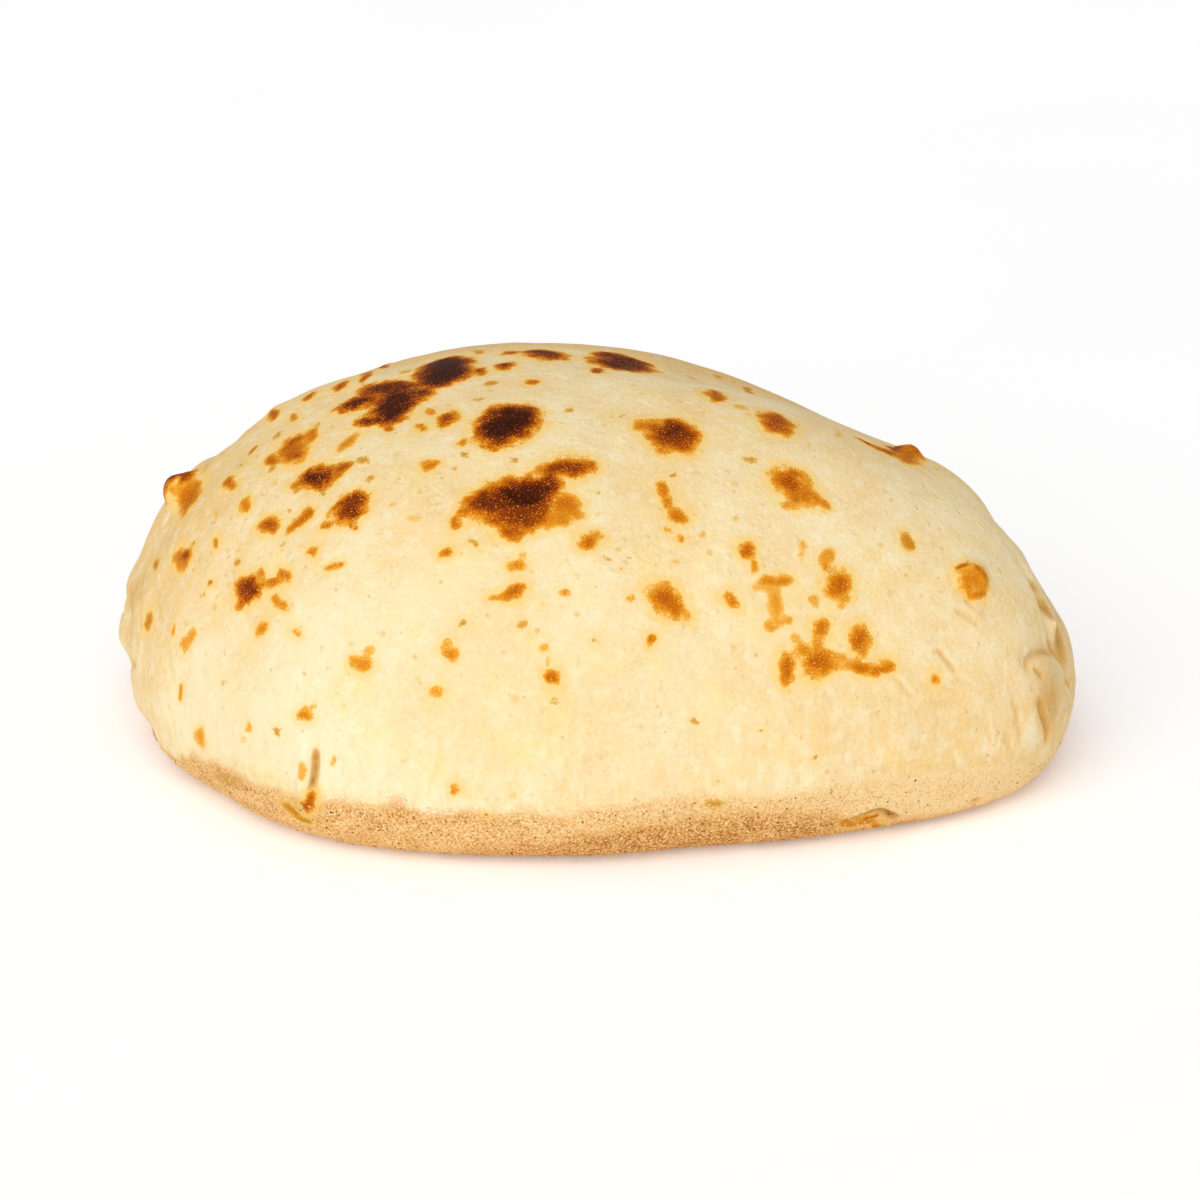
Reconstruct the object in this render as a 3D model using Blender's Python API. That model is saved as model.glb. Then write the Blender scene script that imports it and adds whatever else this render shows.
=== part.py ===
"""Puffed pita bread, freshly ballooned by the oven: one solid, still uncut.

Stand-alone Blender 4.5 script: blender --background --python part.py

Frame: metres, +Z up. The bread stands on z = 0 with its origin at the middle of
its footprint, its long side along X and its front towards -Y. Places on it are
given by a bearing round the peak (0 = right end, 90 = back, 180 = left end,
270 = front) and a rise up the dome (0 = rim, 90 = peak), both in degrees.
"""
from dataclasses import dataclass

import bmesh
import bpy
import numpy as np

NODE_NAME = "pita_bread"

# Reach of the rim from the plan position of the peak, and the height of the peak.
REACH_RIGHT = 0.1195
REACH_BACK = 0.092
REACH_LEFT = 0.095
REACH_FRONT = 0.081
PEAK_HEIGHT = 0.0865

# Side profile: the rim stands at RIM_HEIGHT, the underside tucks in below it, and
# the dome above it follows a superellipse of power DOME_FULLNESS (2 = an ellipse).
RIM_HEIGHT = 0.016
TUCK_UNDER = 0.0125
DOME_FULLNESS = 2.1

# The lip of the rim where the top and bottom layers are baked together.
LIP_THICKNESS = 0.0045
GROOVE_ABOVE_LIP = 0.0075
GROOVE_WIDTH = 0.0045

# Mesh density: columns round the bread, rings under and over the rim, which crowd
# towards the rim. Faces nearer to a blister or a fold than these margins beyond its
# half length are cut in half both ways, once for each margin.
COLUMNS = 108
RINGS_BELOW = 6
RINGS_ABOVE = 30
RING_CROWDING = 1.25
BLISTER_MARGINS = (0.0050, 0.0020)
FOLD_MARGINS = (0.0010,)

# How square the shoulders of a feature are: 2 is a soft bell, 4 a flat-topped button.
SOFT = 2.0
BUTTON = 4.0

# Crust: pale baked dough.
CRUST_COLOUR = (0.86, 0.66, 0.40, 1.0)
CRUST_ROUGHNESS = 0.75
CRUST_METALLIC = 0.0


@dataclass(frozen=True)
class Swell:
    """A smooth change along the rim: amount at its bearing, fading over spread degrees."""

    bearing: float
    spread: float
    amount: float


@dataclass(frozen=True)
class Mound:
    """A raised or hollow place on the dome; a negative height makes a hollow.

    The long side lies along the bearing's tangent, turned by turn degrees
    towards the peak.
    """

    bearing: float
    rise: float
    length: float
    width: float
    height: float
    turn: float = 0.0


# Where the outline leaves the plain four-quarter oval.
OUTLINE_SWELLS = (
    Swell(16, 12, -0.0025),   # lean behind the right end
    Swell(58, 20, 0.0025),    # full shoulder, back right
    Swell(146, 14, 0.0030),   # shoulder, back left
    Swell(166, 10, 0.0050),   # ear at the left end
    Swell(182, 4, -0.0016),   # notch under the ear
    Swell(195, 3, -0.0010),   # second notch, front left
    Swell(210, 14, -0.0025),  # flattened front left
    Swell(238, 16, 0.0020),   # corner, front left
    Swell(337, 13, 0.0055),   # heel, front right
    Swell(296, 12, -0.0020),  # lean front
)

# Where the rim rides higher or lower than RIM_HEIGHT.
RIM_SWELLS = (
    Swell(0, 14, -0.0025),
    Swell(174, 13, 0.0040),
    Swell(250, 26, 0.0025),
)

# Where the side of the dome is leaner or fuller than DOME_FULLNESS.
FULLNESS_SWELLS = (
    Swell(22, 28, -0.38),
    Swell(110, 30, 0.08),
    Swell(152, 16, -0.14),
)

# How far the lip stands out, by bearing: clear at both back corners, faint in front.
LIP_SWELLS = (
    Swell(25, 17, 0.0046),
    Swell(95, 40, 0.0012),
    Swell(166, 13, 0.0030),
    Swell(300, 50, 0.0006),
)

# Blisters blown out of the top layer.
BLISTERS = (
    Mound(175, 32, 0.0100, 0.0085, 0.0028),   # large, left end
    Mound(2, 46, 0.0060, 0.0048, 0.0024),     # knob, right shoulder
    Mound(336, 30, 0.0078, 0.0070, 0.0018),   # button, right side
    Mound(169, 52, 0.0055, 0.0045, 0.0007),   # small, upper left
)

# Broad swellings and hollows of the dome.
BULGES = (
    Mound(4, 38, 0.0500, 0.0260, 0.0032),     # right shoulder
    Mound(359, 30, 0.0300, 0.0090, -0.0012),  # waist under the right shoulder
    Mound(165, 60, 0.0500, 0.0300, 0.0016),   # upper left
    Mound(173, 44, 0.0260, 0.0140, -0.0016),  # waist over the left end
    Mound(30, 66, 0.0500, 0.0400, -0.0012),   # lean slope right of the peak
)

# Pleats and creases of the dough, most of them at the rim.
FOLDS = (
    Mound(236, -6, 0.0040, 0.0170, 0.0020),        # pleat, front left
    Mound(240, -4, 0.0036, 0.0150, -0.0014),       # crease beside the pleat
    Mound(344, 13, 0.0080, 0.0150, -0.0018, 35),   # ear fold, right end
    Mound(338, 9, 0.0100, 0.0120, 0.0014, 20),     # lobe beside the ear fold
)


def apart(bearing, other):
    """Signed angle in degrees from one bearing to another, the short way round."""
    return (bearing - other + 180.0) % 360.0 - 180.0


def swelled(base, swells, bearing):
    """Value of a quantity at a bearing: its base plus every swell near that bearing."""
    value = np.full_like(bearing, base)
    for swell in swells:
        value += swell.amount * np.exp(-(apart(bearing, swell.bearing) / swell.spread) ** 2)
    return value


def rim_reach(bearing):
    """Distance of the rim from the peak's axis: four quarter ellipses with swells."""
    angle = np.radians(bearing)
    side = np.where(np.cos(angle) >= 0.0, REACH_RIGHT, REACH_LEFT)
    end = np.where(np.sin(angle) >= 0.0, REACH_BACK, REACH_FRONT)
    oval = side * end / np.hypot(end * np.cos(angle), side * np.sin(angle))
    return oval + swelled(0.0, OUTLINE_SWELLS, bearing)


def lip_offset(bearing, height_over_rim):
    """How far the lip pushes the profile out, and the groove over it draws it in."""
    lip = swelled(0.0, LIP_SWELLS, bearing)
    roll = np.exp(-(height_over_rim / LIP_THICKNESS) ** 2)
    groove = np.exp(-((height_over_rim - GROOVE_ABOVE_LIP) / GROOVE_WIDTH) ** 2)
    return lip * (roll - groove)


def profile_point(bearing, rise):
    """Point of the plain crust at a bearing and a rise.

    A rise from -90 to 0 runs from the edge of the flat base out to the rim, and
    from 0 to 90 up the dome to the peak.
    """
    bearing = np.asarray(bearing, dtype=float)
    rise = np.asarray(rise, dtype=float)
    reach = rim_reach(bearing)
    rim = swelled(RIM_HEIGHT, RIM_SWELLS, bearing)
    power = 2.0 / swelled(DOME_FULLNESS, FULLNESS_SWELLS, bearing)
    lift = np.radians(np.clip(rise, 0.0, 90.0))
    drop = np.radians(np.clip(-rise, 0.0, 90.0))
    radius = reach * np.clip(np.cos(lift), 0.0, 1.0) ** power - TUCK_UNDER * (1.0 - np.cos(drop))
    height = rim * (1.0 - np.sin(drop)) + (PEAK_HEIGHT - rim) * np.sin(lift) ** power
    radius = radius + lip_offset(bearing, height - rim) * np.clip(radius / reach, 0.0, 1.0)
    angle = np.radians(bearing)
    return np.stack([radius * np.cos(angle), radius * np.sin(angle), height], axis=-1)


def ring_rises():
    """Rises of the rings, from the base's edge to just below the peak."""
    below = [-90.0 * (1.0 - k / RINGS_BELOW) for k in range(RINGS_BELOW)]
    above = [90.0 * (k / RINGS_ABOVE) ** RING_CROWDING for k in range(RINGS_ABOVE)]
    return below + above


def crust_shell():
    """Closed shell of the bread: a flat base, rings of quads and a cap of triangles."""
    shell = bmesh.new()
    bearings = np.arange(COLUMNS) * 360.0 / COLUMNS
    rings = []
    for rise in ring_rises():
        points = profile_point(bearings, np.full(COLUMNS, rise))
        rings.append([shell.verts.new(point) for point in points])
    for lower, upper in zip(rings, rings[1:]):
        for i in range(COLUMNS):
            j = (i + 1) % COLUMNS
            shell.faces.new((lower[i], lower[j], upper[j], upper[i]))
    shell.faces.new(reversed(rings[0]))
    peak = shell.verts.new((0.0, 0.0, PEAK_HEIGHT))
    for i in range(COLUMNS):
        shell.faces.new((rings[-1][i], rings[-1][(i + 1) % COLUMNS], peak))
    return shell


def mound_axes(mound):
    """Centre of a mound with its long, short and outward directions."""
    nudge = 1.0
    centre = profile_point(mound.bearing, mound.rise)
    along = profile_point(mound.bearing + nudge, mound.rise) - centre
    upward = profile_point(mound.bearing, mound.rise + nudge) - centre
    along /= np.linalg.norm(along)
    outward = np.cross(along, upward)
    outward /= np.linalg.norm(outward)
    upward = np.cross(outward, along)
    turn = np.radians(mound.turn)
    long_way = along * np.cos(turn) + upward * np.sin(turn)
    short_way = upward * np.cos(turn) - along * np.sin(turn)
    return centre, long_way, short_way, outward


def mound_distance(mound, points):
    """Distance of points from a mound's centre, as a share of its half sizes."""
    centre, long_way, short_way, outward = mound_axes(mound)
    offset = points - centre
    half_long = mound.length / 2.0
    half_short = mound.width / 2.0
    return np.sqrt((offset @ long_way / half_long) ** 2 + (offset @ short_way / half_short) ** 2
                   + (offset @ outward / mound.length) ** 2)


def refine_near(shell, mounds, margins):
    """Cut the faces near the given mounds finer, so that their form shows."""
    for mound in mounds:
        centre = mound_axes(mound)[0]
        half_size = max(mound.length, mound.width) / 2.0
        for margin in margins:
            edges = set()
            for face in shell.faces:
                gap = np.linalg.norm(np.array(face.calc_center_median()) - centre) - half_size
                if gap < margin and len(face.verts) <= 4:
                    edges.update(face.edges)
            bmesh.ops.subdivide_edges(shell, edges=sorted(edges, key=edge_order), cuts=1,
                                      use_grid_fill=True)


def edge_order(edge):
    """Sorting key that keeps the cuts in the same order on every run."""
    return tuple(round(value, 7) for vert in edge.verts for value in vert.co)


def raise_mounds(shell, mounds, sharpness):
    """Push the crust out over each mound, or in for a hollow, along its normals."""
    for mound in mounds:
        shell.normal_update()
        points = np.array([vert.co[:] for vert in shell.verts])
        share = mound_distance(mound, points)
        for vert, distance in zip(list(shell.verts), share):
            if vert.co.z > 0.0:
                vert.co += vert.normal * mound.height * float(np.exp(-distance ** sharpness))


def centre_footprint(shell):
    """Move the shell so that the middle of its plan box is at the origin."""
    points = np.array([vert.co[:] for vert in shell.verts])
    middle = (points.min(axis=0) + points.max(axis=0)) / 2.0
    for vert in shell.verts:
        vert.co.x -= middle[0]
        vert.co.y -= middle[1]


def crust_material():
    """Matt pale crust of baked dough."""
    material = bpy.data.materials.new("baked_crust")
    material.use_nodes = True
    shader = material.node_tree.nodes["Principled BSDF"]
    shader.inputs["Base Color"].default_value = CRUST_COLOUR
    shader.inputs["Roughness"].default_value = CRUST_ROUGHNESS
    shader.inputs["Metallic"].default_value = CRUST_METALLIC
    return material


def crust_mesh():
    """Mesh of the whole bread with its bulges, folds and blisters."""
    shell = crust_shell()
    refine_near(shell, BLISTERS, BLISTER_MARGINS)
    refine_near(shell, FOLDS, FOLD_MARGINS)
    raise_mounds(shell, BULGES, SOFT)
    raise_mounds(shell, FOLDS, SOFT)
    raise_mounds(shell, BLISTERS, BUTTON)
    centre_footprint(shell)
    mesh = bpy.data.meshes.new(NODE_NAME)
    shell.to_mesh(mesh)
    shell.free()
    mesh.shade_smooth()
    return mesh


def main():
    """Clear the scene and build the bread."""
    for old in list(bpy.data.objects):
        bpy.data.objects.remove(old, do_unlink=True)
    bread = bpy.data.objects.new(NODE_NAME, crust_mesh())
    bread.data.materials.append(crust_material())
    bpy.context.scene.collection.objects.link(bread)


main()
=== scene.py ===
"""Looks of a puffed pita bread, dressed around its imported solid.

Frame: metres, +Z up, the bread standing on z = 0. A place on the crust is given by a
bearing round the dome's heart (0 = right end, 90 = back, 180 = left end, 270 = front)
and an elevation above the heart, both in degrees. Sizes on the crust are in
millimetres: a length lies along the bearing's tangent and is turned towards the peak.
"""

from __future__ import annotations

import logging
import math
import random
from dataclasses import dataclass, field
from enum import Enum

import bmesh
import bpy
import numpy as np
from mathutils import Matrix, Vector, noise
from mathutils.bvhtree import BVHTree


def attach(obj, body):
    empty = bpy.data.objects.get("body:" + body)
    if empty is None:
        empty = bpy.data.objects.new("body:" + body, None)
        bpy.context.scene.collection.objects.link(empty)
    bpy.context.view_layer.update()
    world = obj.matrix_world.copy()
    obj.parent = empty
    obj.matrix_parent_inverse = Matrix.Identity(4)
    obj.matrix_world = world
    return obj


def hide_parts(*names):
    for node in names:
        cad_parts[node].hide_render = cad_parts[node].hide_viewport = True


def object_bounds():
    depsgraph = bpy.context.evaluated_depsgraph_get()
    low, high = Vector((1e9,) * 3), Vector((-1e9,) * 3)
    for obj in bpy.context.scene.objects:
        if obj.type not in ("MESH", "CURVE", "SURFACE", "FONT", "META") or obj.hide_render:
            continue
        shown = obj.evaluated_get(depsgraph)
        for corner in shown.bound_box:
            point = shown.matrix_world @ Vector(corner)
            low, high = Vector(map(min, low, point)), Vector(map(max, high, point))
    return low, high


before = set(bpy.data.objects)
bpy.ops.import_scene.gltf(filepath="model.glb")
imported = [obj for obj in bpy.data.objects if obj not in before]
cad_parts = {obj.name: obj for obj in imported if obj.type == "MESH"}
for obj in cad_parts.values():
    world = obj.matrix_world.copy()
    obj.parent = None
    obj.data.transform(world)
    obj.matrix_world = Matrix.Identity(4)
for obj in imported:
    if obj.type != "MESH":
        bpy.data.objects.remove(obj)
CAD_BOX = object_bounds()

LOG = logging.getLogger("pita_bread")
MM = 0.001
BREAD_NODE = "pita_bread"
BODY = "root"
HEART_HEIGHT = 16.0 * MM
SHOWN_SIDE = (0.0, -0.94, 0.34)


class Tone(Enum):
    """How far a blot is baked: its heat, from 0 raw to 1 char, and its share of olive."""

    BLACK = (1.0, 0.0)
    DARK = (0.92, 0.0)
    UMBER = (0.82, 0.0)
    BROWN = (0.70, 0.0)
    RUST = (0.63, 0.0)
    ORANGE = (0.55, 0.0)
    AMBER = (0.46, 0.0)
    GOLD = (0.37, 0.0)
    HONEY = (0.27, 0.0)
    MOSS = (0.50, 0.40)
    TAN = (0.20, 0.3)
    OLIVE = (0.36, 0.7)


@dataclass(frozen=True)
class Blot:
    """One oval of browning; several overlapping ones make a scorch mark.

    A hollow above 0 keeps that share of the oval's middle unburnt, like a ring.
    """

    bearing: float
    elevation: float
    length: float
    width: float
    turn: float
    tone: Tone
    hollow: float = 0.0


@dataclass(frozen=True)
class Seam:
    """A crease along a run of places; a height above 0 makes it a ridge.

    The shoulder is how far the crust stands up on the left of the run, seen from
    outside on the way from its first place to its last.
    """

    places: tuple[tuple[float, float], ...]
    width: float
    height: float
    stain_and_shade: float = 0.0
    shoulder: float = 0.0


@dataclass(frozen=True)
class Fold:
    """A raised or hollow place of the crust; a negative height is a crease or a dent.

    A stain above 0 browns the place, in hollows partly as painted shade; one below 0 leaves
    it pale. The blunter it is, the flatter its top: 2 is a soft bell, 4 a button.
    """

    bearing: float
    elevation: float
    length: float
    width: float
    height: float
    turn: float = 0.0
    stain_and_shade: float = 0.0
    blunt: float = 2.0


BLACK, DARK, UMBER, BROWN = Tone.BLACK, Tone.DARK, Tone.UMBER, Tone.BROWN
RUST, ORANGE, AMBER, GOLD = Tone.RUST, Tone.ORANGE, Tone.AMBER, Tone.GOLD
HONEY, MOSS, TAN, OLIVE = Tone.HONEY, Tone.MOSS, Tone.TAN, Tone.OLIVE

# Scorch marks of the shown side, each a few ovals, from the peak down to the left.
SCORCH_MARKS = {
    "crown oval": (
        Blot(170.5, 71.5, 27, 14, 10, BLACK),
        Blot(186.5, 78, 4.5, 3, 0, UMBER),
        Blot(172.5, 82.5, 6.5, 5, -27, UMBER),
    ),
    "star under the crown": (
        Blot(204.5, 61, 15.5, 9.5, -18, BLACK),
        Blot(187.5, 62.5, 16, 10, 56, DARK),
        Blot(197.5, 62.5, 15, 11, 5, DARK),
        Blot(200, 66, 9.5, 8, 48, DARK),
        Blot(191, 57, 8.5, 7, 58, BLACK),
        Blot(205.5, 57, 8, 5, 50, DARK),
        Blot(189, 53.5, 3.5, 2, -77, ORANGE),
        Blot(215.5, 57, 4, 2, -17, RUST),
        Blot(230, 63.5, 6, 4.5, -39, UMBER),
        Blot(225.5, 59.5, 4.5, 2.5, -18, ORANGE),
        Blot(219.5, 64, 4, 2.5, -14, AMBER),
    ),
    "upper left patch": (
        Blot(213, 43.5, 11.5, 7.5, 11, BLACK),
        Blot(217, 46.5, 5.5, 4.5, 87, BROWN),
        Blot(209, 40.5, 3.5, 2.5, 24, ORANGE),
    ),
    "slanted lozenge": (
        Blot(228, 41, 9.5, 8.5, 76, DARK),
        Blot(225.5, 37, 4, 2, 47, RUST),
        Blot(231.5, 38, 3, 1.5, 5, RUST),
    ),
    "ringed blister": (
        Blot(198, 44.5, 12.5, 8, -7, RUST),
        Blot(198, 44.5, 9.5, 6.5, -7, UMBER, 0.4),
        Blot(196.5, 48, 6.5, 3, -9, ORANGE),
        Blot(196, 41, 6.5, 3.5, 21, RUST),
        Blot(209, 51.5, 7.5, 4, -75, AMBER),
    ),
    "big oval": (
        Blot(255.5, 65, 17.5, 14, 70, BLACK),
        Blot(244, 58.5, 3, 2.5, -62, AMBER),
    ),
    "big ragged heart": (
        Blot(266, 49, 12, 9, 2, BLACK),
        Blot(264.5, 46.8, 17, 10.5, 0, UMBER),
        Blot(271.5, 50.5, 8, 5.5, 89, DARK),
        Blot(256.5, 46, 8.5, 7, -12, DARK),
        Blot(261, 48, 10, 9, 0, DARK),
        Blot(264.5, 44.5, 13.5, 7, 4, UMBER),
        Blot(263.5, 42, 6, 4.5, 2, BROWN),
        Blot(262, 51, 5.5, 4.5, 1, BROWN),
        Blot(275, 46.5, 8, 7, 82, ORANGE),
        Blot(272.5, 44, 7, 4.5, 0, AMBER),
        Blot(270, 54, 5.5, 5, 88, AMBER),
        Blot(253, 44, 4.2, 2.8, -37, ORANGE),
        Blot(251.5, 42, 3.2, 2.7, -62, RUST),
        Blot(277, 54.5, 11.5, 7, 13, UMBER),
        Blot(279, 40, 5.2, 4.8, 16, RUST),
    ),
    "left eye with its arm": (
        Blot(216, 24.3, 8.5, 6.5, -5, DARK),
        Blot(218.5, 24, 4, 2.5, 0, RUST),
        Blot(215.5, 22, 3.5, 2, 5, AMBER),
        Blot(217.5, 27, 4, 2.5, -12, AMBER),
        Blot(220, 26, 7.5, 2.5, 13, ORANGE),
        Blot(222, 26.5, 4, 2.7, -5, ORANGE),
        Blot(223, 28, 5.5, 2.2, -22, ORANGE),
        Blot(224.5, 24.3, 6.5, 2, 0, AMBER),
    ),
    "pair on the left": (
        Blot(212, 33.5, 7.5, 4.5, 12, BROWN),
        Blot(218.5, 36, 7, 3, 72, RUST),
        Blot(219, 38, 4, 2.5, -15, RUST),
        Blot(226.5, 33, 4, 2.5, -16, ORANGE),
    ),
    "left flank": (
        Blot(191.5, 34, 7.5, 4, 2, RUST),
        Blot(202, 34, 5, 3.5, 3, ORANGE),
        Blot(202, 27.5, 3.5, 2.5, 4, ORANGE),
        Blot(195.5, 22, 9, 5, 11, ORANGE),
        Blot(196, 23, 5.5, 3.5, 4, DARK),
        Blot(187.5, 18, 7, 3, 3, MOSS),
        Blot(194.5, 12, 5, 4, 44, MOSS),
        Blot(203, 13.5, 3.5, 2.5, 85, GOLD),
        Blot(207, 13.5, 6, 3.5, 46, GOLD),
    ),
    "lower left": (
        Blot(223, 20, 4, 3, 15, AMBER),
        Blot(230, 21, 3.5, 2.5, -1, AMBER),
        Blot(232.5, 31.5, 4.5, 2, 11, AMBER),
        Blot(242.5, 19, 5.5, 3.5, 9, AMBER),
        Blot(243, 21.5, 3.5, 2.5, 63, HONEY),
        Blot(234.5, 10.5, 4.5, 3, 15, AMBER),
        Blot(236, 12, 4, 1.5, 28, HONEY),
        Blot(213, 1, 6.5, 5, 35, GOLD),
        Blot(207, 6, 4.8, 1.8, 88, GOLD),
        Blot(235.5, 3, 4, 2.5, 76, HONEY),
        Blot(239.5, 5, 3, 1.5, 85, HONEY),
    ),
    "shoulder, upper left": (
        Blot(174, 43, 8, 3.5, 14, BROWN),
        Blot(183, 46.5, 5.5, 2.5, 10, RUST),
        Blot(174.5, 49.5, 5, 3.5, -17, RUST),
        Blot(173.5, 54.5, 7, 3.5, -10, BROWN),
        Blot(164, 57, 18, 2.5, 18, RUST),
        Blot(143.5, 53.5, 17, 3, 39, BROWN),
        Blot(173, 33, 5, 2, 18, TAN),
    ),
    "behind the peak": (
        Blot(92.5, 81.5, 12.5, 9, -57, DARK),
        Blot(120.5, 77.5, 6, 4.5, 87, BROWN),
        Blot(34, 73.5, 19, 15, -51, DARK),
        Blot(354, 81, 6, 3.5, 5, UMBER),
        Blot(254.5, 81, 4, 3.5, -66, BROWN),
        Blot(131, 70.5, 6, 2.5, 63, MOSS),
        Blot(36, 47.5, 11, 1.5, -40, TAN),
    ),
    "brown star on the right": (
        Blot(311.5, 57, 13, 11, 17, UMBER),
        Blot(314.5, 58.5, 7.5, 6, 30, DARK),
        Blot(308, 61.5, 7, 4, -3, ORANGE),
        Blot(309.5, 59.5, 8, 5, -75, BROWN),
        Blot(306.5, 62, 4, 2.5, -82, AMBER),
        Blot(314.5, 55, 9.5, 4.5, 44, ORANGE),
    ),
    "upper right": (
        Blot(346, 60.5, 11.5, 4.5, 5, BROWN),
        Blot(339.5, 50, 12, 8.5, 34, BROWN),
        Blot(341, 55.5, 3.5, 2.5, 72, HONEY),
        Blot(24.5, 49.5, 12, 2.5, -30, MOSS),
        Blot(36, 51, 6.5, 3.5, -38, OLIVE),
        Blot(349.5, 42, 6, 2.5, 6, TAN),
    ),
    "chain": (
        Blot(298.5, 47.5, 5, 2.8, 63, ORANGE),
        Blot(298, 45, 4.5, 3, 62, ORANGE),
        Blot(299, 42.5, 5, 3.6, -11, ORANGE),
        Blot(296, 40, 2.6, 2.2, 54, GOLD),
        Blot(297.5, 38.5, 2.2, 1.9, 27, AMBER),
    ),
    "right lozenge": (
        Blot(323.9, 40.3, 12.5, 7, 90, ORANGE),
        Blot(323.8, 42, 7.5, 6, 0, RUST),
        Blot(323, 38.2, 7, 6, 0, ORANGE),
        Blot(323.7, 40.6, 7, 4.5, 88, BROWN),
        Blot(324.8, 36.3, 5.5, 3, -70, ORANGE),
    ),
    "lower chain": (
        Blot(307.5, 34, 4, 3.4, 38, RUST),
        Blot(307, 31.5, 4.3, 2.1, 62, AMBER),
        Blot(309.5, 28.5, 8.8, 3.2, -12, AMBER),
        Blot(306.5, 28, 4.3, 2.6, -16, HONEY),
        Blot(308.5, 27, 4, 3, -12, HONEY),
        Blot(308, 25.5, 6.8, 3.6, 66, GOLD),
        Blot(308, 23, 5.6, 2.7, -16, GOLD),
        Blot(306, 22.5, 3.3, 1.9, -67, GOLD),
        Blot(301.5, 27.5, 5, 3.5, -70, ORANGE),
    ),
    "leaf": (
        Blot(291.5, 29, 10, 6.5, -46, RUST),
        Blot(287.5, 24, 3, 2.5, -4, ORANGE),
    ),
    "right column": (
        Blot(319, 29, 4.4, 3.4, -11, GOLD),
        Blot(318, 28, 3.2, 2, 50, AMBER),
        Blot(318, 25, 8.3, 6.2, 48, RUST),
        Blot(316.5, 22.5, 3.2, 2.5, -10, HONEY),
        Blot(314, 24, 2.6, 1.5, 60, TAN),
        Blot(316, 31.5, 6.5, 2, 69, HONEY),
    ),
    "lower right": (
        Blot(313, 21, 5.5, 3.7, 63, ORANGE),
        Blot(312, 19, 4.2, 3.3, 65, AMBER),
        Blot(311, 16.5, 8.5, 6, -15, RUST),
        Blot(309.5, 18.5, 4.8, 3.7, -13, AMBER),
        Blot(309, 20, 3.5, 2.2, -16, HONEY),
        Blot(314, 16.5, 3.1, 2.5, -14, GOLD),
        Blot(317.5, 18, 5.7, 4.8, -11, RUST),
        Blot(317.5, 16.5, 3.4, 2.9, -13, AMBER),
        Blot(317.5, 14.5, 11, 3.4, -18, ORANGE),
        Blot(319.5, 14, 3.7, 2.5, -18, ORANGE),
        Blot(315, 15.5, 3.2, 2.1, -16, GOLD),
        Blot(306.5, 16.5, 6.2, 3.8, 76, RUST),
        Blot(325, 11, 3.5, 2.5, -78, AMBER),
    ),
    "front": (
        Blot(265, 36, 4.5, 2.5, 2, AMBER),
        Blot(266, 37.5, 2.5, 2, -85, GOLD),
        Blot(265, 32, 5.5, 3, 30, RUST),
        Blot(262.5, 31, 3, 1.5, 15, AMBER),
        Blot(255.5, 22, 3.5, 3, 44, AMBER),
        Blot(255, 24, 3, 1.5, -38, GOLD),
        Blot(271.5, 19, 3.5, 3.5, 20, RUST),
        Blot(270.5, 23.5, 2.5, 2, 0, HONEY),
        Blot(271, 21.5, 2.5, 1.5, 90, HONEY),
        Blot(254.5, 16.5, 3, 2, 6, GOLD),
        Blot(257.5, 2.5, 2.5, 2, 85, AMBER),
        Blot(250.5, 6.5, 3, 1.5, 6, TAN),
        Blot(295, -1, 5, 2.6, 0, OLIVE),
    ),
    "right side button": (
        Blot(334.5, 19.8, 7.8, 6.5, -38, AMBER),
        Blot(335.6, 20, 5, 2.4, 75, RUST),
        Blot(333.6, 19.6, 5, 2, 75, RUST),
        Blot(334.6, 21.3, 4.5, 1.6, -14, BROWN),
        Blot(334.5, 18.2, 4.5, 2, 0, ORANGE),
    ),
    "left end blister": (
        Blot(181.5, 27, 14, 9.5, 0, ORANGE),
        Blot(174.5, 26, 7, 11, 0, DARK),
        Blot(176, 28, 8, 5, 0, UMBER),
    ),
    "right shoulder knob": (
        Blot(356, 33, 16, 7, -14, ORANGE),
        Blot(0.5, 31.8, 8, 5, 0, RUST),
        Blot(359, 33.6, 11, 4.5, -18, UMBER),
        Blot(353, 35.3, 6, 5, 0, BROWN),
        Blot(352.6, 37.4, 9, 3.2, 85, BROWN),
    ),
    "foot of the pleat": (
        Blot(236, -2, 7, 3.5, 65, BROWN),
        Blot(231.8, -4.2, 6, 3.5, -40, MOSS),
        Blot(233.5, -5.5, 6, 3, 0, MOSS),
    ),
    "under the overhang": (
        Blot(316, -7, 9, 3, 12, MOSS),
        Blot(317.2, -6, 4, 2, 20, BROWN),
        Blot(320, -8.3, 8, 2, -10, MOSS),
    ),
}

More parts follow.
